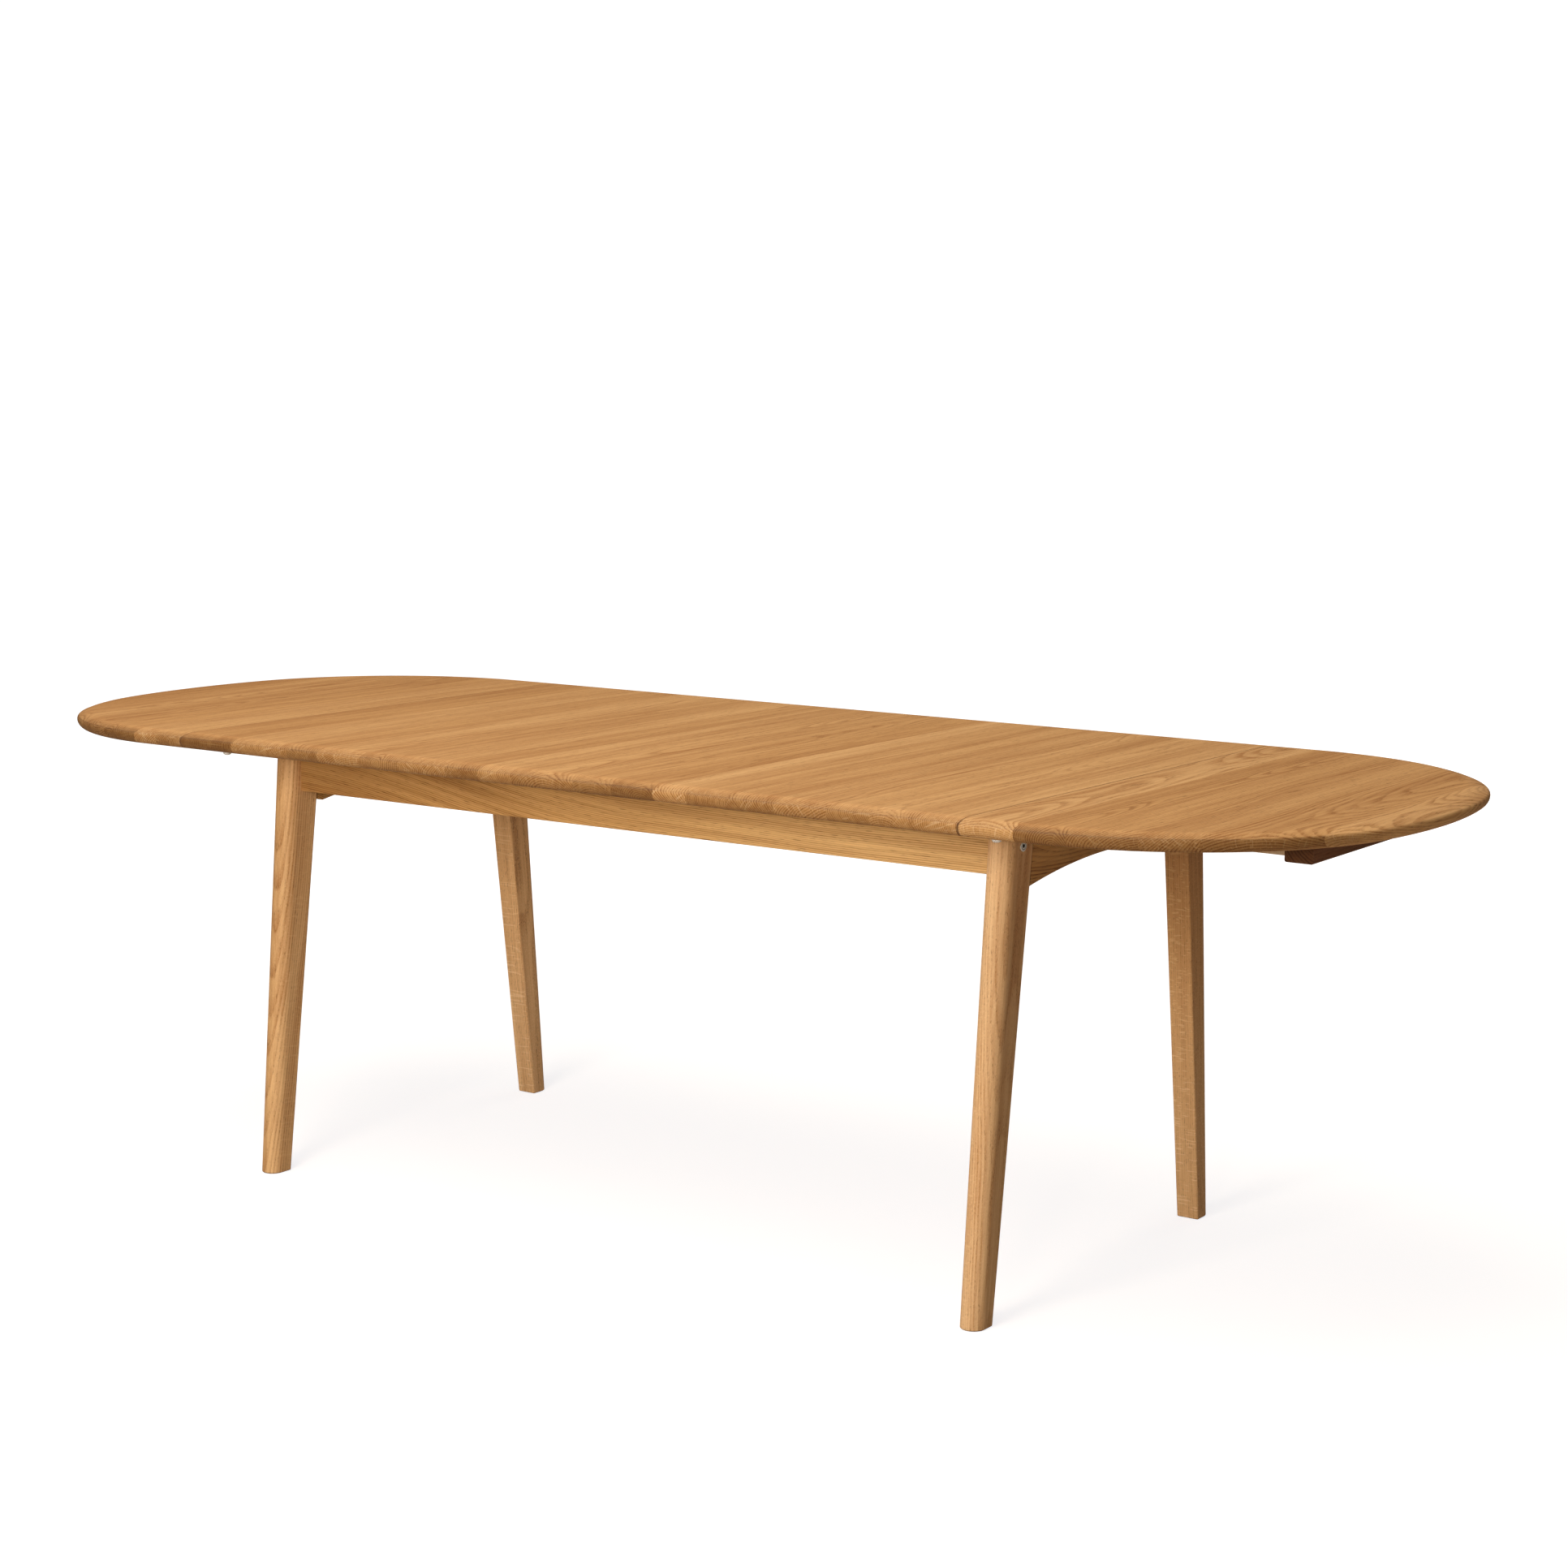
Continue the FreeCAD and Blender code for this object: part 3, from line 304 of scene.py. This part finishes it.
def oak_figure():
    """Growth rings round a heart, pores in the early wood, rays across the rings, slow streaks.

    Place is in the board's own frame, with Y along the grain.
    """
    group, r, given = new_group("oak_figure", GRAIN_INPUTS, [
        ("Rings", "Float"), ("Pores", "Float"), ("Rays", "Float"), ("Streaks", "Float"),
        ("Fibres", "Float"),
    ])
    place = given["Place"]
    seed = given["Seed"]

    def wander(stretch, reach):
        """A drift of the rings, even on all sides."""
        drift = r.noise(place, stretch, 1.0, seed, "Color")
        return r.scaled(r.vector("SUBTRACT", drift, (0.5, 0.5, 0.5)), r.times(given["Wander"], reach))

    drift = r.vector("ADD", wander(SLOW_WANDER, SLOW_REACH), wander(QUICK_WANDER, QUICK_REACH))
    across, _, depth = r.split(r.vector("ADD", r.vector("SUBTRACT", place, given["Heart"]), drift))
    radius = r.maths("SQRT", r.plus(r.times(across, across), r.times(depth, depth)))
    ripple = r.noise(place, RIPPLE, 1.0, seed)
    count = r.maths("DIVIDE", r.times_plus(ripple, RIPPLE_REACH, radius), given["Ring width"])
    part = r.maths("FRACT", count)
    whole = r.maths("FLOOR", count)
    vigour = r.add("ShaderNodeTexWhiteNoise", {"W": r.plus(whole, seed)}, noise_dimensions="1D")
    early = r.maths("MAXIMUM", r.span(part, *EARLY_FADE, 1.0, 0.0), r.span(part, *EARLY_RETURN))
    strength = r.times_plus(vigour.outputs["Value"], 1 - FAINTEST_RING, FAINTEST_RING)
    rings = r.times(early, strength)
    fine = r.join(PORES_ACROSS, r.maths("DIVIDE", 1.0, given["Pore run"]), PORES_ACROSS)
    pores = r.span(r.noise(place, fine, 1.0, seed), *PORE_EDGE)
    pores = r.times(pores, r.times_plus(early, 1 - LATE_PORES, LATE_PORES))
    sheet = r.join(r.maths("ARCTAN2", depth, across), radius, r.split(place)[1])
    rays = r.span(r.noise(sheet, RAYS, 1.0, seed), *RAY_EDGE)
    slow = r.span(r.noise(place, STREAKS, 3.0, seed), *STREAK_EDGE)
    bands = r.span(r.noise(place, BANDS, 2.0, seed), *BAND_EDGE)
    streaks = r.times_plus(bands, BAND_SHARE, r.times(slow, 1 - BAND_SHARE))
    fibres = r.span(r.noise(place, FIBRES, 2.0, seed), *FIBRE_EDGE)
    r.add("NodeGroupOutput", {"Rings": rings, "Pores": pores, "Rays": rays, "Streaks": streaks,
                              "Fibres": fibres})
    return group


# ---- Oil on oak ----------------------------------------------------------------------------------

DEEP_SHARE = 0.42  # share of the deep colour in plain wood
MIDDLE_RING = 0.30  # rings weaker than this lighten the wood
FIBRE_DEPTH = 0.30
END_RING_GAIN = 1.8  # how much more the rings show on end grain
PORE_SHADE = 0.65
RAY_SHEEN = 0.55
TONE_START = 0.60  # brightness of a board of tone 0
TONE_RATE = 0.80  # and what a tone of 1 adds
TONE_POWERS = (1.45, 2.1)  # dark boards lose more green than red, and most blue
THIRST_START = 1.97
THIRST_RATE = -2.0  # end grain of a paler board darkens less
SOAK_POWERS = (1.10, 1.27)
# Strength of the painted shade in the seam grooves:
SEAM_SHADE_STRENGTH = 0.72
WOOD_ROUGHNESS = 0.54
PORE_ROUGHNESS = 0.16
FIBRE_ROUGHNESS = 0.08
PORE_HEIGHT = -0.6
RING_HEIGHT = -0.25


def oak_finish(figure):
    """Colour, roughness and relief of one oiled board, darker where the grain ends show."""
    group, r, given = new_group("oak_finish", GRAIN_INPUTS + [
        ("Grain end", "Float", 0.0), ("Tone", "Float", 0.5), ("Streak depth", "Float", 0.5),
        ("Ring depth", "Float", 0.5), ("Pore depth", "Float", 0.5), ("Ray depth", "Float", 0.3),
        ("Face rays", "Float", 1.0), ("End depth", "Float", 0.40), ("Joint", "Float", 0.0),
        ("Pale", "Color", None), ("Deep", "Color", None),
    ], [("Color", "Color"), ("Roughness", "Float"), ("Height", "Float")])
    grain_feeds = {label: given[label] for label, _, _ in GRAIN_INPUTS}
    seen = r.add("ShaderNodeGroup", grain_feeds, node_tree=figure).outputs
    end = given["Grain end"]

    def dimmed(colour, level, powers):
        """A colour times a level, with its green and blue lowered by powers of it."""
        levels = r.join(level, *(r.maths("POWER", level, power) for power in powers))
        return r.blend(1.0, colour, levels, "MULTIPLY")

    ring_depth = r.times(given["Ring depth"], r.times_plus(end, END_RING_GAIN, 1.0))
    share = r.times_plus(r.minus(seen["Streaks"], 0.5), given["Streak depth"], DEEP_SHARE)
    share = r.times_plus(r.minus(seen["Rings"], MIDDLE_RING), ring_depth, share)
    share = r.times_plus(r.minus(seen["Fibres"], 0.5), FIBRE_DEPTH, share)
    colour = r.blend(share, given["Pale"], given["Deep"])
    dark = r.blend(PORE_SHADE, colour, PORE_DARK)
    colour = r.blend(r.times(seen["Pores"], given["Pore depth"]), colour, dark)
    light = r.blend(RAY_SHEEN, colour, RAY_LIGHT)
    ray_depth = r.times(given["Ray depth"], r.maths("MAXIMUM", given["Face rays"], end))
    colour = r.blend(r.times(seen["Rays"], ray_depth), colour, light)
    colour = dimmed(colour, r.times_plus(given["Tone"], TONE_RATE, TONE_START), TONE_POWERS)
    thirst = r.times(given["End depth"], r.times_plus(given["Tone"], THIRST_RATE, THIRST_START))
    colour = dimmed(colour, r.minus(1.0, r.times(end, thirst)), SOAK_POWERS)
    # painted shade in the seam grooves between slabs
    colour = r.blend(r.times(given["Joint"], SEAM_SHADE_STRENGTH), colour, SEAM_SHADE_DARK)
    roughness = r.times_plus(seen["Pores"], PORE_ROUGHNESS, WOOD_ROUGHNESS)
    roughness = r.times_plus(seen["Fibres"], FIBRE_ROUGHNESS, roughness)
    height = r.times_plus(seen["Pores"], PORE_HEIGHT, r.times(seen["Rings"], RING_HEIGHT))
    r.add("NodeGroupOutput", {"Color": colour, "Roughness": roughness, "Height": height})
    return group


OAK = oak_finish(oak_figure())

# ---- Boards --------------------------------------------------------------------------------------

BOARD_RELIEF = (0.12, 0.0006)
BOARD_GLOSS = 0.20
END_TURN = (0.10, 0.48)  # how far along the grain a face looks where end grain starts and is whole
# The painted shade of the groove at a seam, a dark line: how far off it starts to fade and is gone, and
# its strength at both.
FACE_SEAM = (0.0005, 0.0014, 0.85, 0.0)
END_SEAM = (0.0008, 0.0030, 1.0, 0.0)


def board(name, lie=(0, 0, 0), turn=(0, 0, 0), heart=(0, 0, 0), staves=None, fade=None, dive=None,
          gloss=BOARD_GLOSS, **looks):
    """An oiled board: lie and turn are its own frame (Y along the grain), heart is in that frame.

    fade is (axis, from, to, first tone, last tone), where a board's tone changes along an axis.
    dive is (from, to, depth), where its grain runs down by that depth from one place to another.
    """
    material, r, shader = new_material(name)
    spot = r.add("ShaderNodeTexCoord").outputs
    place = r.add("ShaderNodeMapping", {"Vector": spot["Object"], "Location": lie, "Rotation": turn},
                  vector_type="TEXTURE").outputs[0]
    facing = r.add("ShaderNodeMapping", {"Vector": spot["Normal"], "Rotation": turn},
                   vector_type="TEXTURE").outputs[0]
    end = r.span(r.maths("ABSOLUTE", r.split(facing)[1]), *END_TURN)
    if dive:
        start, stop, depth = dive
        sunk = r.span(r.split(place)[1], start, stop, 0.0, depth)
        place = r.vector("ADD", place, r.join(0.0, 0.0, sunk))
    feeds = {"Place": place, "Heart": heart, "Grain end": end}
    if staves:
        feeds.update(lay_staves(r, place, staves))
        # painted shade along the seams between slabs
        feeds["Joint"] = seam_shade_mask(r, place, end)
    if fade:
        axis, *ends = fade
        feeds["Tone"] = r.span(r.split(place)[axis], *ends)
    for key, value in looks.items():
        feeds[key.replace("_", " ").capitalize()] = (*value, 1.0) if isinstance(value, tuple) else value
    oak = r.add("ShaderNodeGroup", feeds, node_tree=OAK).outputs
    feed_shader(r, shader, oak["Color"], oak["Roughness"], oak["Height"], BOARD_RELIEF)
    shader.inputs["Specular IOR Level"].default_value = gloss
    return material


def lay_staves(r, place, staves):
    """Heart, tone and seed of the stave at each place across a slab."""
    start = staves[0][0]
    width = staves[-1][0] + PAST_LAST_JOINT - start
    reach = width + 2 * HEART_MARGIN
    where = r.maths("DIVIDE", r.minus(r.split(place)[0], start), width)
    ramp = r.add("ShaderNodeValToRGB", {"Fac": where})
    ramp.color_ramp.interpolation = "CONSTANT"
    stops = ramp.color_ramp.elements
    while len(stops) < len(staves):
        stops.new(1.0)
    for stop, (joint, heart, depth, tone) in zip(stops, staves):
        stop.position = (joint - start) / width
        stop.color = ((heart - start + HEART_MARGIN) / reach, depth / (2 * HEART_DEPTH) + 0.5, tone, 1.0)
    picked = r.add("ShaderNodeSeparateColor", {"Color": ramp.outputs["Color"]}).outputs
    across = r.times_plus(picked["Red"], reach, start - HEART_MARGIN)
    height = r.times_plus(picked["Green"], -2 * HEART_DEPTH, TABLE_TOP + HEART_DEPTH)
    seed = r.times(across, SEED_SPREAD)
    return {"Heart": r.join(across, 0.0, height), "Tone": picked["Blue"], "Seed": seed}


def seam_shade_mask(r, place, end):
    """How dark the painted shade in the groove between two slabs is at each place; it is wider on end
    grain.
    """
    from_seam = r.maths("ABSOLUTE", r.minus(r.maths("ABSOLUTE", r.split(place)[0]), SEAM))
    on_end = r.times(end, r.span(from_seam, *END_SEAM))
    return r.maths("MAXIMUM", r.span(from_seam, *FACE_SEAM), on_end)


def dress(name, wood="oak", **looks):
    """Give one frame piece a board of its own, laid at the middle of its box."""
    low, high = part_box(name)
    put_on(board(f"{wood}_{name}", lie=tuple((low + high) / 2), **looks), name)


# ---- Top and leaves ------------------------------------------------------------------------------

SLAB_LOOKS = dict(pale=TOP_PALE, deep=TOP_DEEP, ring_width=0.0032, wander=0.018, ring_depth=0.40,
                  streak_depth=0.66, pore_depth=0.62, pore_run=0.018, ray_depth=0.55, face_rays=0.12,
                  end_depth=0.54)
SLABS = [  # name, staves, looks of its own
    ("main_top", MAIN_STAVES, {}),
    ("left_leaf", LEFT_STAVES, {}),
    ("right_leaf", RIGHT_STAVES, dict(ring_depth=0.52)),
]
for name, staves, own_looks in SLABS:
    put_on(board(f"oak_{name}", staves=staves, **{**SLAB_LOOKS, **own_looks}), name)

# ---- Legs ----------------------------------------------------------------------------------------

LEG_LEAN = math.radians(7.0)  # the grain runs with the leg's splay

LEG_LOOKS = dict(pale=LEG_PALE, deep=LEG_DEEP, ring_width=0.0036, wander=0.012, ring_depth=0.34,
                 streak_depth=0.42, pore_depth=0.55, pore_run=0.005, ray_depth=0.25, gloss=0.30)
LEGS = {  # each leg's heart (across, along, towards the front, from its middle) and its own looks
    "front_left_leg": dict(heart=(0.012, 0, -0.050), seed=1.7, pale=FRONT_LEFT_LEG_PALE,
                           ring_width=0.0055, wander=0.015, ring_depth=0.45, streak_depth=0.55,
                           fade=(0, -0.02, 0.02, 0.24, 0.40), dive=(-0.34, 0.30, 0.030)),
    # Its paler colour is partly a painted highlight on its lit front.
    "front_right_leg": dict(heart=(-0.058, 0, 0.004), seed=4.8, pale=FRONT_RIGHT_LEG_PALE,
                            fade=(0, -0.01, 0.02, 0.55, 0.42)),
    # The rear legs' tones fall towards their tops: painted shade cast by the top and the aprons.
    "rear_left_leg": dict(heart=(-0.100, 0, 0.022), seed=7.9, pore_depth=0.70, ray_depth=0.45,
                          fade=(1, -0.25, 0.10, 0.70, 0.52)),
    "rear_right_leg": dict(heart=(-0.110, 0, 0.030), seed=11.0, ring_depth=0.15, streak_depth=0.25,
                           ray_depth=0.65, fade=(1, -0.30, 0.36, 0.60, 0.22)),
}
for name, own_looks in LEGS.items():
    lean = math.copysign(LEG_LEAN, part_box(name)[0].y)
    dress(name, turn=(math.pi / 2 + lean, 0, 0), **{**LEG_LOOKS, **own_looks})

# ---- Aprons and cross rails ----------------------------------------------------------------------

ALONG_X = (0, 0, -math.pi / 2)
NEARLY_ALONG_X = (-0.012, 0, -math.pi / 2)  # the grain slopes a little

APRON_LOOKS = dict(pale=APRON_PALE, deep=APRON_DEEP, wander=0.008, ring_width=0.0030,
                   ring_depth=0.56, streak_depth=0.60, pore_depth=0.75, pore_run=0.016,
                   ray_depth=0.0)
# The end aprons' low tone is partly their own darker wood and partly painted shade on faces turned to
# the table's ends, away from the lamps.
END_APRON_LOOKS = {**APRON_LOOKS, "wander": 0.018, "ring_width": 0.0028, "tone": 0.34}
RAIL_LOOKS = dict(pale=RAIL_PALE, deep=RAIL_DEEP, wander=0.008, ring_width=0.004)

for name, seed in (("front_apron", 5.3), ("rear_apron", 8.9)):
    dress(name, turn=NEARLY_ALONG_X, heart=(0.035, 0, -0.10), seed=seed,
          fade=(1, -0.62, 0.62, 0.20, 0.66), dive=(-0.70, 0.05, 0.085), **APRON_LOOKS)
for name, seed, heart_across in (("right_end_apron", 2.2, -0.045), ("left_end_apron", 6.1, 0.045)):
    dress(name, heart=(heart_across, 0, 0.01), seed=seed, **END_APRON_LOOKS)
for name, seed in (("right_cross_rail", 4.4), ("left_cross_rail", 9.7)):
    dress(name, heart=(0.05, 0, 0.04), seed=seed, **RAIL_LOOKS)

# ---- Bearers -------------------------------------------------------------------------------------

RUNNER_SEED_SPREAD = 20  # how far apart the seeds of two runners a metre apart are

# The battens are dark with painted shade under the leaves; their end grain darkens more, as end grain
# does.
BATTEN_LOOKS = dict(pale=SHADED_BATTEN_PALE, deep=SHADED_BATTEN_DEEP, wander=0.008, ring_width=0.004,
                    end_depth=0.45, ray_depth=0.05, gloss=0.16)
RUNNER_LOOKS = dict(pale=RUNNER_PALE, deep=RUNNER_DEEP, ring_width=0.003, ring_depth=0.25,
                    pore_depth=0.2)

for name, seed in (("right_batten", 1.3), ("left_batten", 7.7)):
    dress(name, heart=(0.04, 0, 0.03), seed=seed, **BATTEN_LOOKS)
for side in ("right", "left"):
    for row in ("rear", "front"):
        name = f"{side}_{row}_runner"
        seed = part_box(name)[1].y * RUNNER_SEED_SPREAD
        dress(name, "pale", turn=ALONG_X, heart=(0.03, 0, -0.05), seed=seed, **RUNNER_LOOKS)

# ---- Small beech parts ---------------------------------------------------------------------------

beech = board("beech_small_parts", heart=(0.02, 0, 0.4), pale=BEECH_PALE, deep=BEECH_DEEP,
              ring_depth=0.2, pore_depth=0.25, ray_depth=0.1)
put_on(beech, "apron_dowels", "end_apron_dowels", "cross_rail_dowels", "top_buttons",
       "left_leaf_dowels", "right_leaf_dowels", "left_batten_dowels", "right_batten_dowels",
       "left_stop_pins", "right_stop_pins")

# ---- Metal ---------------------------------------------------------------------------------------

SHINE_CLOUDS = (160.0, 160.0, 160.0)  # changes a metre along each axis
WIPE_MARKS = (2600.0, 260.0, 900.0)
CLOUD_EDGE = (0.3, 0.7)
CLOUD_SHADE = 0.86  # of the colour, in the darker clouds
METAL_RELIEF = (0.15, 0.0002)
# A nut's face gets painted shade in its socket and in a groove round it, out to these radii.
NUT_SOCKET = 0.0027  # radii on a nut's face
NUT_GROOVE = 0.0046
NUT_RIM = 0.0056
SOCKET_EDGE = 0.0003  # widths over which the painted shade of the socket and the groove ends
GROOVE_EDGE = 0.0002


def plated(name, colour, roughness, spread, eyes=None, metal=1.0):
    """Plated steel with fine wipe marks and a slightly uneven shine.

    eyes is (half the spacing across, height) of nuts whose faces, turned to X, get painted shade in
    their sockets and the grooves round them.
    """
    material, r, shader = new_material(name)
    place = r.add("ShaderNodeTexCoord").outputs["Object"]
    cloud = r.noise(place, SHINE_CLOUDS, 3.0)
    marks = r.noise(place, WIPE_MARKS, 2.0)
    cloudy = tuple(CLOUD_SHADE * part for part in colour)
    shade = r.blend(r.span(cloud, *CLOUD_EDGE), cloudy, colour)
    dull = r.times_plus(cloud, spread, roughness - spread / 2)
    if eyes:
        # painted shade in the nuts' sockets and grooves
        shade = r.blend(socket_shade_mask(r, place, *eyes), shade, SOCKET_SHADE_DARK)
    feed_shader(r, shader, shade, dull, marks, METAL_RELIEF)
    shader.inputs["Metallic"].default_value = metal
    return material


def socket_shade_mask(r, place, across, height):
    """Painted shade: 1 in a nut's socket and in the groove round it, 0 elsewhere on its face."""
    _, aside, up = r.split(place)
    off = r.join(r.minus(r.maths("ABSOLUTE", aside), across), r.minus(up, height), 0.0)
    reach = r.vector("LENGTH", off)
    hollow = r.span(reach, NUT_SOCKET, NUT_SOCKET + SOCKET_EDGE, 1.0, 0.0)
    groove = r.times(r.span(reach, NUT_GROOVE, NUT_GROOVE + GROOVE_EDGE),
                     r.span(reach, NUT_RIM, NUT_RIM + GROOVE_EDGE, 1.0, 0.0))
    return r.maths("MAXIMUM", hollow, groove)


def nut_eyes():
    """Half the spacing of the sleeve nuts across the table, and their height."""
    low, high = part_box("sleeve_nuts")
    radius = (high.z - low.z) / 2
    return high.y - radius, low.z + radius


put_on(plated("bright_nuts", BRIGHT_STEEL, 0.24, 0.10, nut_eyes()), "sleeve_nuts")
put_on(plated("steel_fittings", PLAIN_STEEL, 0.32, 0.16), "threaded_rods", "barrel_nuts",
       "button_screws", "rest_plates", "plate_screws")

# ---- Rest studs ----------------------------------------------------------------------------------

STUD_LINE = [  # radius and height of the turned line, from the plate down
    (0.0030, 0.0000), (0.0030, -0.0022), (0.0060, -0.0026), (0.0068, -0.0032), (0.0070, -0.0042),
    (0.0070, -0.0118), (0.0069, -0.0130), (0.0064, -0.0148), (0.0052, -0.0161), (0.0034, -0.0169),
    (0.0016, -0.0172),
]
STUD_RADIUS = max(radius for radius, _ in STUD_LINE)
STUD_SIDES = 48


def turn_stud(build, place):
    """Adds one stud, turned on its upright axis, to a mesh being built."""
    rings = []
    for radius, height in STUD_LINE:
        ring = []
        for step in range(STUD_SIDES):
            angle = 2 * math.pi * step / STUD_SIDES
            corner = place + Vector((radius * math.cos(angle), radius * math.sin(angle), height))
            ring.append(build.verts.new(corner))
        rings.append(ring)
    for upper, lower in zip(rings, rings[1:]):
        for step in range(STUD_SIDES):
            after = (step + 1) % STUD_SIDES
            build.faces.new((upper[step], lower[step], lower[after], upper[after]))
    build.faces.new(reversed(rings[0]))
    build.faces.new(rings[-1])


def hang_rest_studs():
    """The four domed studs under the seams, hung from the rest plates."""
    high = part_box("rest_studs")[1]
    plate_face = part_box("rest_plates")[0].z
    build = bmesh.new()
    for side in (-1, 1):
        for row in (-1, 1):
            place = Vector((side * (high.x - STUD_RADIUS), row * (high.y - STUD_RADIUS), plate_face))
            turn_stud(build, place)
    for face in build.faces:
        face.smooth = True
    build.normal_update()
    bmesh.ops.recalc_face_normals(build, faces=build.faces)
    mesh = bpy.data.meshes.new("turned_rest_studs")
    build.to_mesh(mesh)
    build.free()
    mesh.materials.append(plated("satin_studs", SATIN_STEEL, 0.28, 0.12, metal=0.60))
    studs = bpy.data.objects.new("turned_rest_studs", mesh)
    bpy.context.scene.collection.objects.link(studs)
    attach(studs, "frame")
    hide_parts("rest_studs")


hang_rest_studs()

# ---- Studio --------------------------------------------------------------------------------------

FLOOR_REACH = 40.0
FLOOR_LEVEL = -0.0004
PAPER = (0.465, 0.405, 0.330)
PAPER_SHADE = 0.95
PAPER_CLOUDS = (0.7, 0.7, 0.7)
PAPER_ROUGHNESS = 0.9
PAPER_GLOSS = 0.1
PAPER_GLOW_TINT = (0.976, 1.004, 1.048)
PAPER_GLOW = (1.6, 4.0, 0.768, 1.02)  # distances between which it rises, and its strength at both
LIGHTS = [  # name, place, size, power, tint, mirrored
    ("key", (0.40, -3.10, 1.50), 1.0, 70.0, (1.0, 0.98, 0.955), False),
    ("back", (0.30, 6.00, 2.20), 3.0, 66.0, (1.0, 0.95, 0.90), False),
    ("side", (2.60, -5.60, 1.60), 0.6, 66.0, (1.0, 0.93, 0.84), True),
    ("overhead", (-0.80, -1.00, 4.40), 4.2, 146.0, (1.0, 1.0, 1.0), True),
]
LIGHT_AIM = Vector((0, 0, 0.6))
SKY_LIGHT = (0.07, 0.34)  # at the horizon and overhead
SKY_TINT = (1.0, 0.88, 0.74)
SKY_GLOW = 1.05
WHITE = (1, 1, 1, 1)


def lay_floor():
    """A wide pale floor that glows a little to the eye, as over-lit studio paper does."""
    mesh = bpy.data.meshes.new("floor")
    reach = FLOOR_REACH
    corners = [(-reach, -reach), (reach, -reach), (reach, reach), (-reach, reach)]
    mesh.from_pydata([(x, y, FLOOR_LEVEL) for x, y in corners], [], [(0, 1, 2, 3)])
    floor = bpy.data.objects.new("floor", mesh)
    bpy.context.scene.collection.objects.link(floor)
    mesh.materials.append(studio_paper())


def studio_paper():
    """Slightly uneven paper, whose own glow only the camera sees."""
    material, r, shader = new_material("studio_paper")
    spot = r.add("ShaderNodeTexCoord").outputs["Object"]
    cloud = r.noise(spot, PAPER_CLOUDS, 2.0)
    tone = r.blend(cloud, PAPER, tuple(PAPER_SHADE * part for part in PAPER))
    rising = r.span(r.vector("LENGTH", spot), *PAPER_GLOW)
    r.tree.links.new(tone, shader.inputs["Base Color"])
    shader.inputs["Roughness"].default_value = PAPER_ROUGHNESS
    shader.inputs["Specular IOR Level"].default_value = PAPER_GLOSS
    glow = r.add("ShaderNodeEmission", {"Color": (*PAPER_GLOW_TINT, 1.0), "Strength": rising})
    seen = r.add("ShaderNodeLightPath").outputs["Is Camera Ray"]
    none = r.add("ShaderNodeEmission", {"Color": WHITE, "Strength": 0.0})
    light = r.add("ShaderNodeMixShader", {0: seen, 1: none.outputs[0], 2: glow.outputs[0]})
    both = r.add("ShaderNodeAddShader", {0: shader.outputs[0], 1: light.outputs[0]})
    output = next(node for node in r.tree.nodes if node.type == "OUTPUT_MATERIAL")
    r.tree.links.new(both.outputs[0], output.inputs["Surface"])
    return material


def hang_light(name, place, size, power, tint, mirrored):
    """A soft square light aimed at the table; mirrored lets gloss show its reflection."""
    lamp = bpy.data.lights.new(name, "AREA")
    lamp.shape = "SQUARE"
    lamp.size = size
    lamp.energy = power
    lamp.color = tint
    light = bpy.data.objects.new(name, lamp)
    light.visible_glossy = mirrored
    light.location = place
    light.rotation_euler = (LIGHT_AIM - Vector(place)).to_track_quat("-Z", "Y").to_euler()
    bpy.context.scene.collection.objects.link(light)


def set_sky():
    """White all round: bright behind the table, softer as light."""
    world = bpy.data.worlds.new("studio")
    world.use_nodes = True
    world.node_tree.nodes.clear()
    r = Recipe(world.node_tree)
    seen = r.add("ShaderNodeLightPath").outputs["Is Camera Ray"]
    height = r.split(r.add("ShaderNodeTexCoord").outputs["Generated"])[2]
    rising = r.span(height, 0.0, 1.0, *SKY_LIGHT)
    soft = r.add("ShaderNodeBackground", {"Color": (*SKY_TINT, 1.0), "Strength": rising})
    white = r.add("ShaderNodeBackground", {"Color": WHITE, "Strength": SKY_GLOW})
    mixed = r.add("ShaderNodeMixShader", {0: seen, 1: soft.outputs[0], 2: white.outputs[0]})
    r.add("ShaderNodeOutputWorld", {"Surface": mixed.outputs[0]})
    bpy.context.scene.world = world


def set_camera():
    """The camera, swung round the point that it aims at."""
    lens = bpy.data.cameras.new("camera")
    lens.lens = VIEW_LENS
    lens.sensor_width = VIEW_SENSOR
    lens.shift_y = VIEW_SHIFT
    lens.clip_end = VIEW_REACH
    camera = bpy.data.objects.new("camera", lens)
    turn = (Matrix.Rotation(VIEW_AZIMUTH, 4, "Z") @ Matrix.Rotation(math.pi / 2 - VIEW_RISE, 4, "X")
            @ Matrix.Rotation(VIEW_ROLL, 4, "Z"))
    camera.matrix_world = Matrix.Translation(VIEW_AIM) @ turn @ Matrix.Translation((0, 0, VIEW_DISTANCE))
    bpy.context.scene.collection.objects.link(camera)
    bpy.context.scene.camera = camera


lay_floor()
for light in LIGHTS:
    hang_light(*light)
set_sky()
set_camera()
bpy.context.scene.view_settings.view_transform = "Standard"
bpy.context.scene.view_settings.look = "None"
